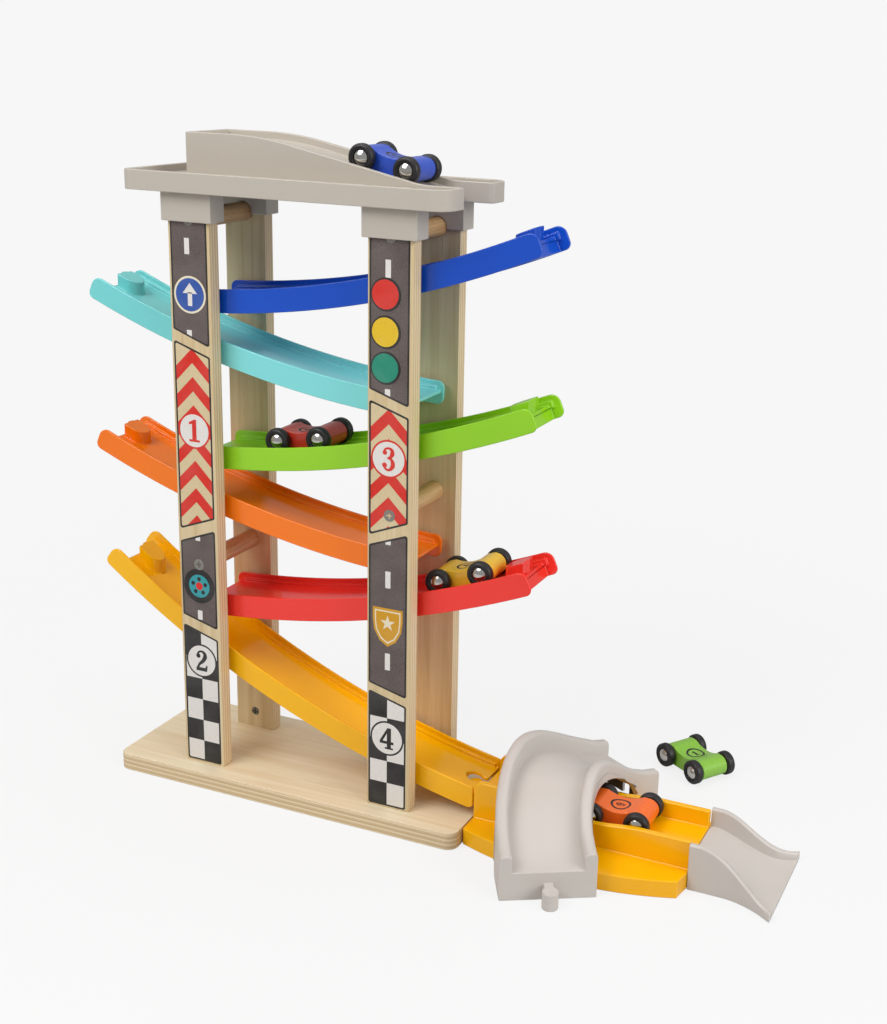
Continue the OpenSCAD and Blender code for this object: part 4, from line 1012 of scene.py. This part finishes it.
table_mesh = bpy.data.meshes.new("pale_table")
table_mesh.from_pydata([(-table_reach, -table_reach, 0), (table_reach, -table_reach, 0),
                        (table_reach, table_reach, 0), (-table_reach, table_reach, 0)], [], [(0, 1, 2, 3)])
table = bpy.data.objects.new("pale_table", table_mesh)
bpy.context.scene.collection.objects.link(table)
backdrop = colour("#F7F7F7")
table_finish, tree, shader, place = new_finish("table_white")
tree.links.new(ramp(tree, noise(tree, place, 3.0), [(0.3, colour("#D2D2D2")), (0.7, colour("#D5D5D5"))]),
               shader.inputs["Base Color"])
shader.inputs["Roughness"].default_value = 0.35
shader.inputs["Specular IOR Level"].default_value = 0.2
rays = add(tree, "ShaderNodeLightPath")
reach = add(tree, "ShaderNodeVectorMath", {0: place}, operation="LENGTH")
away = add(tree, "ShaderNodeMapRange",
           {"Value": reach.outputs["Value"], 1: glow_from, 2: glow_to, 3: 0.0, 4: 1.0},
           interpolation_type="SMOOTHSTEP")
glow = add(tree, "ShaderNodeEmission", {
    "Color": blend(tree, away.outputs[0], (1.0, 1.0, 1.0, 1.0), backdrop), "Strength": 1.0})
share = add(tree, "ShaderNodeMapRange", {"Value": away.outputs[0], 3: near_glow, 4: 1.0})
seen = reckoned(tree, "MULTIPLY", rays.outputs["Is Camera Ray"], share.outputs[0])
lit = add(tree, "ShaderNodeMixShader", {0: seen, 1: shader.outputs[0], 2: glow.outputs[0]})
tree.links.new(lit.outputs[0], tree.nodes["Material Output"].inputs["Surface"])
table_mesh.materials.append(table_finish)

world = bpy.data.worlds.new("soft studio")
bpy.context.scene.world = world
world.use_nodes = True
tree = world.node_tree
air = tree.nodes["Background"]
air.inputs["Color"].default_value = (1.0, 1.0, 1.0, 1.0)
air.inputs["Strength"].default_value = room_light
wall = add(tree, "ShaderNodeBackground", {"Color": backdrop, "Strength": 1.0})
rays = add(tree, "ShaderNodeLightPath")
direct = reckoned(tree, "MAXIMUM", rays.outputs["Is Camera Ray"], rays.outputs["Is Transmission Ray"])
shown = add(tree, "ShaderNodeMixShader", {0: direct, 1: air.outputs[0], 2: wall.outputs[0]})
tree.links.new(shown.outputs[0], tree.nodes["World Output"].inputs["Surface"])

# Each lamp's place, the side of its square and its power
target = Vector((0.05, 0.0, 0.2))
for label, spot, size, power in (("key_window", (-0.5, -0.95, 1.35), 0.9, 14.0),
                                 ("side_window", (2.0, -0.35, 1.1), 1.4, 22.0),
                                 ("top_window", (0.1, 0.2, 2.0), 1.6, 9.0)):
    lamp = bpy.data.lights.new(label, "AREA")
    lamp.shape = "SQUARE"
    lamp.size = size
    lamp.energy = power
    holder = bpy.data.objects.new(label, lamp)
    bpy.context.scene.collection.objects.link(holder)
    holder.location = spot
    holder.rotation_euler = (target - holder.location).to_track_quat("-Z", "Y").to_euler()

# The camera stands 23 degrees round to the right of the front and looks 16 degrees down. Its
# shift is in pixels of the photograph, whose height is the longer side.
camera_turn, camera_tilt, camera_roll = radians(23.118), radians(16.317), radians(1.644)
back = Vector((sin(camera_turn) * cos(camera_tilt), -cos(camera_turn) * cos(camera_tilt), sin(camera_tilt)))
right = Vector((cos(camera_turn), sin(camera_turn), 0.0))
up = back.cross(right)
rolled_right = cos(camera_roll) * right + sin(camera_roll) * up
rolled_up = cos(camera_roll) * up - sin(camera_roll) * right
eye = Matrix((rolled_right, rolled_up, back)).transposed().to_4x4()
eye.translation = Vector((495.7, -840.6, 510.3)) * MM
photo_h_px = 1024
shift_x_px, shift_y_px = -60, -30
view = bpy.data.cameras.new("photo_view")
view.lens = 51.87
view.sensor_width = 36.0
view.shift_x = shift_x_px / photo_h_px
view.shift_y = shift_y_px / photo_h_px
view.clip_start = 20 * MM
camera = bpy.data.objects.new("photo_view", view)
bpy.context.scene.collection.objects.link(camera)
camera.matrix_world = eye
bpy.context.scene.camera = camera
bpy.context.scene.view_settings.view_transform = "Standard"
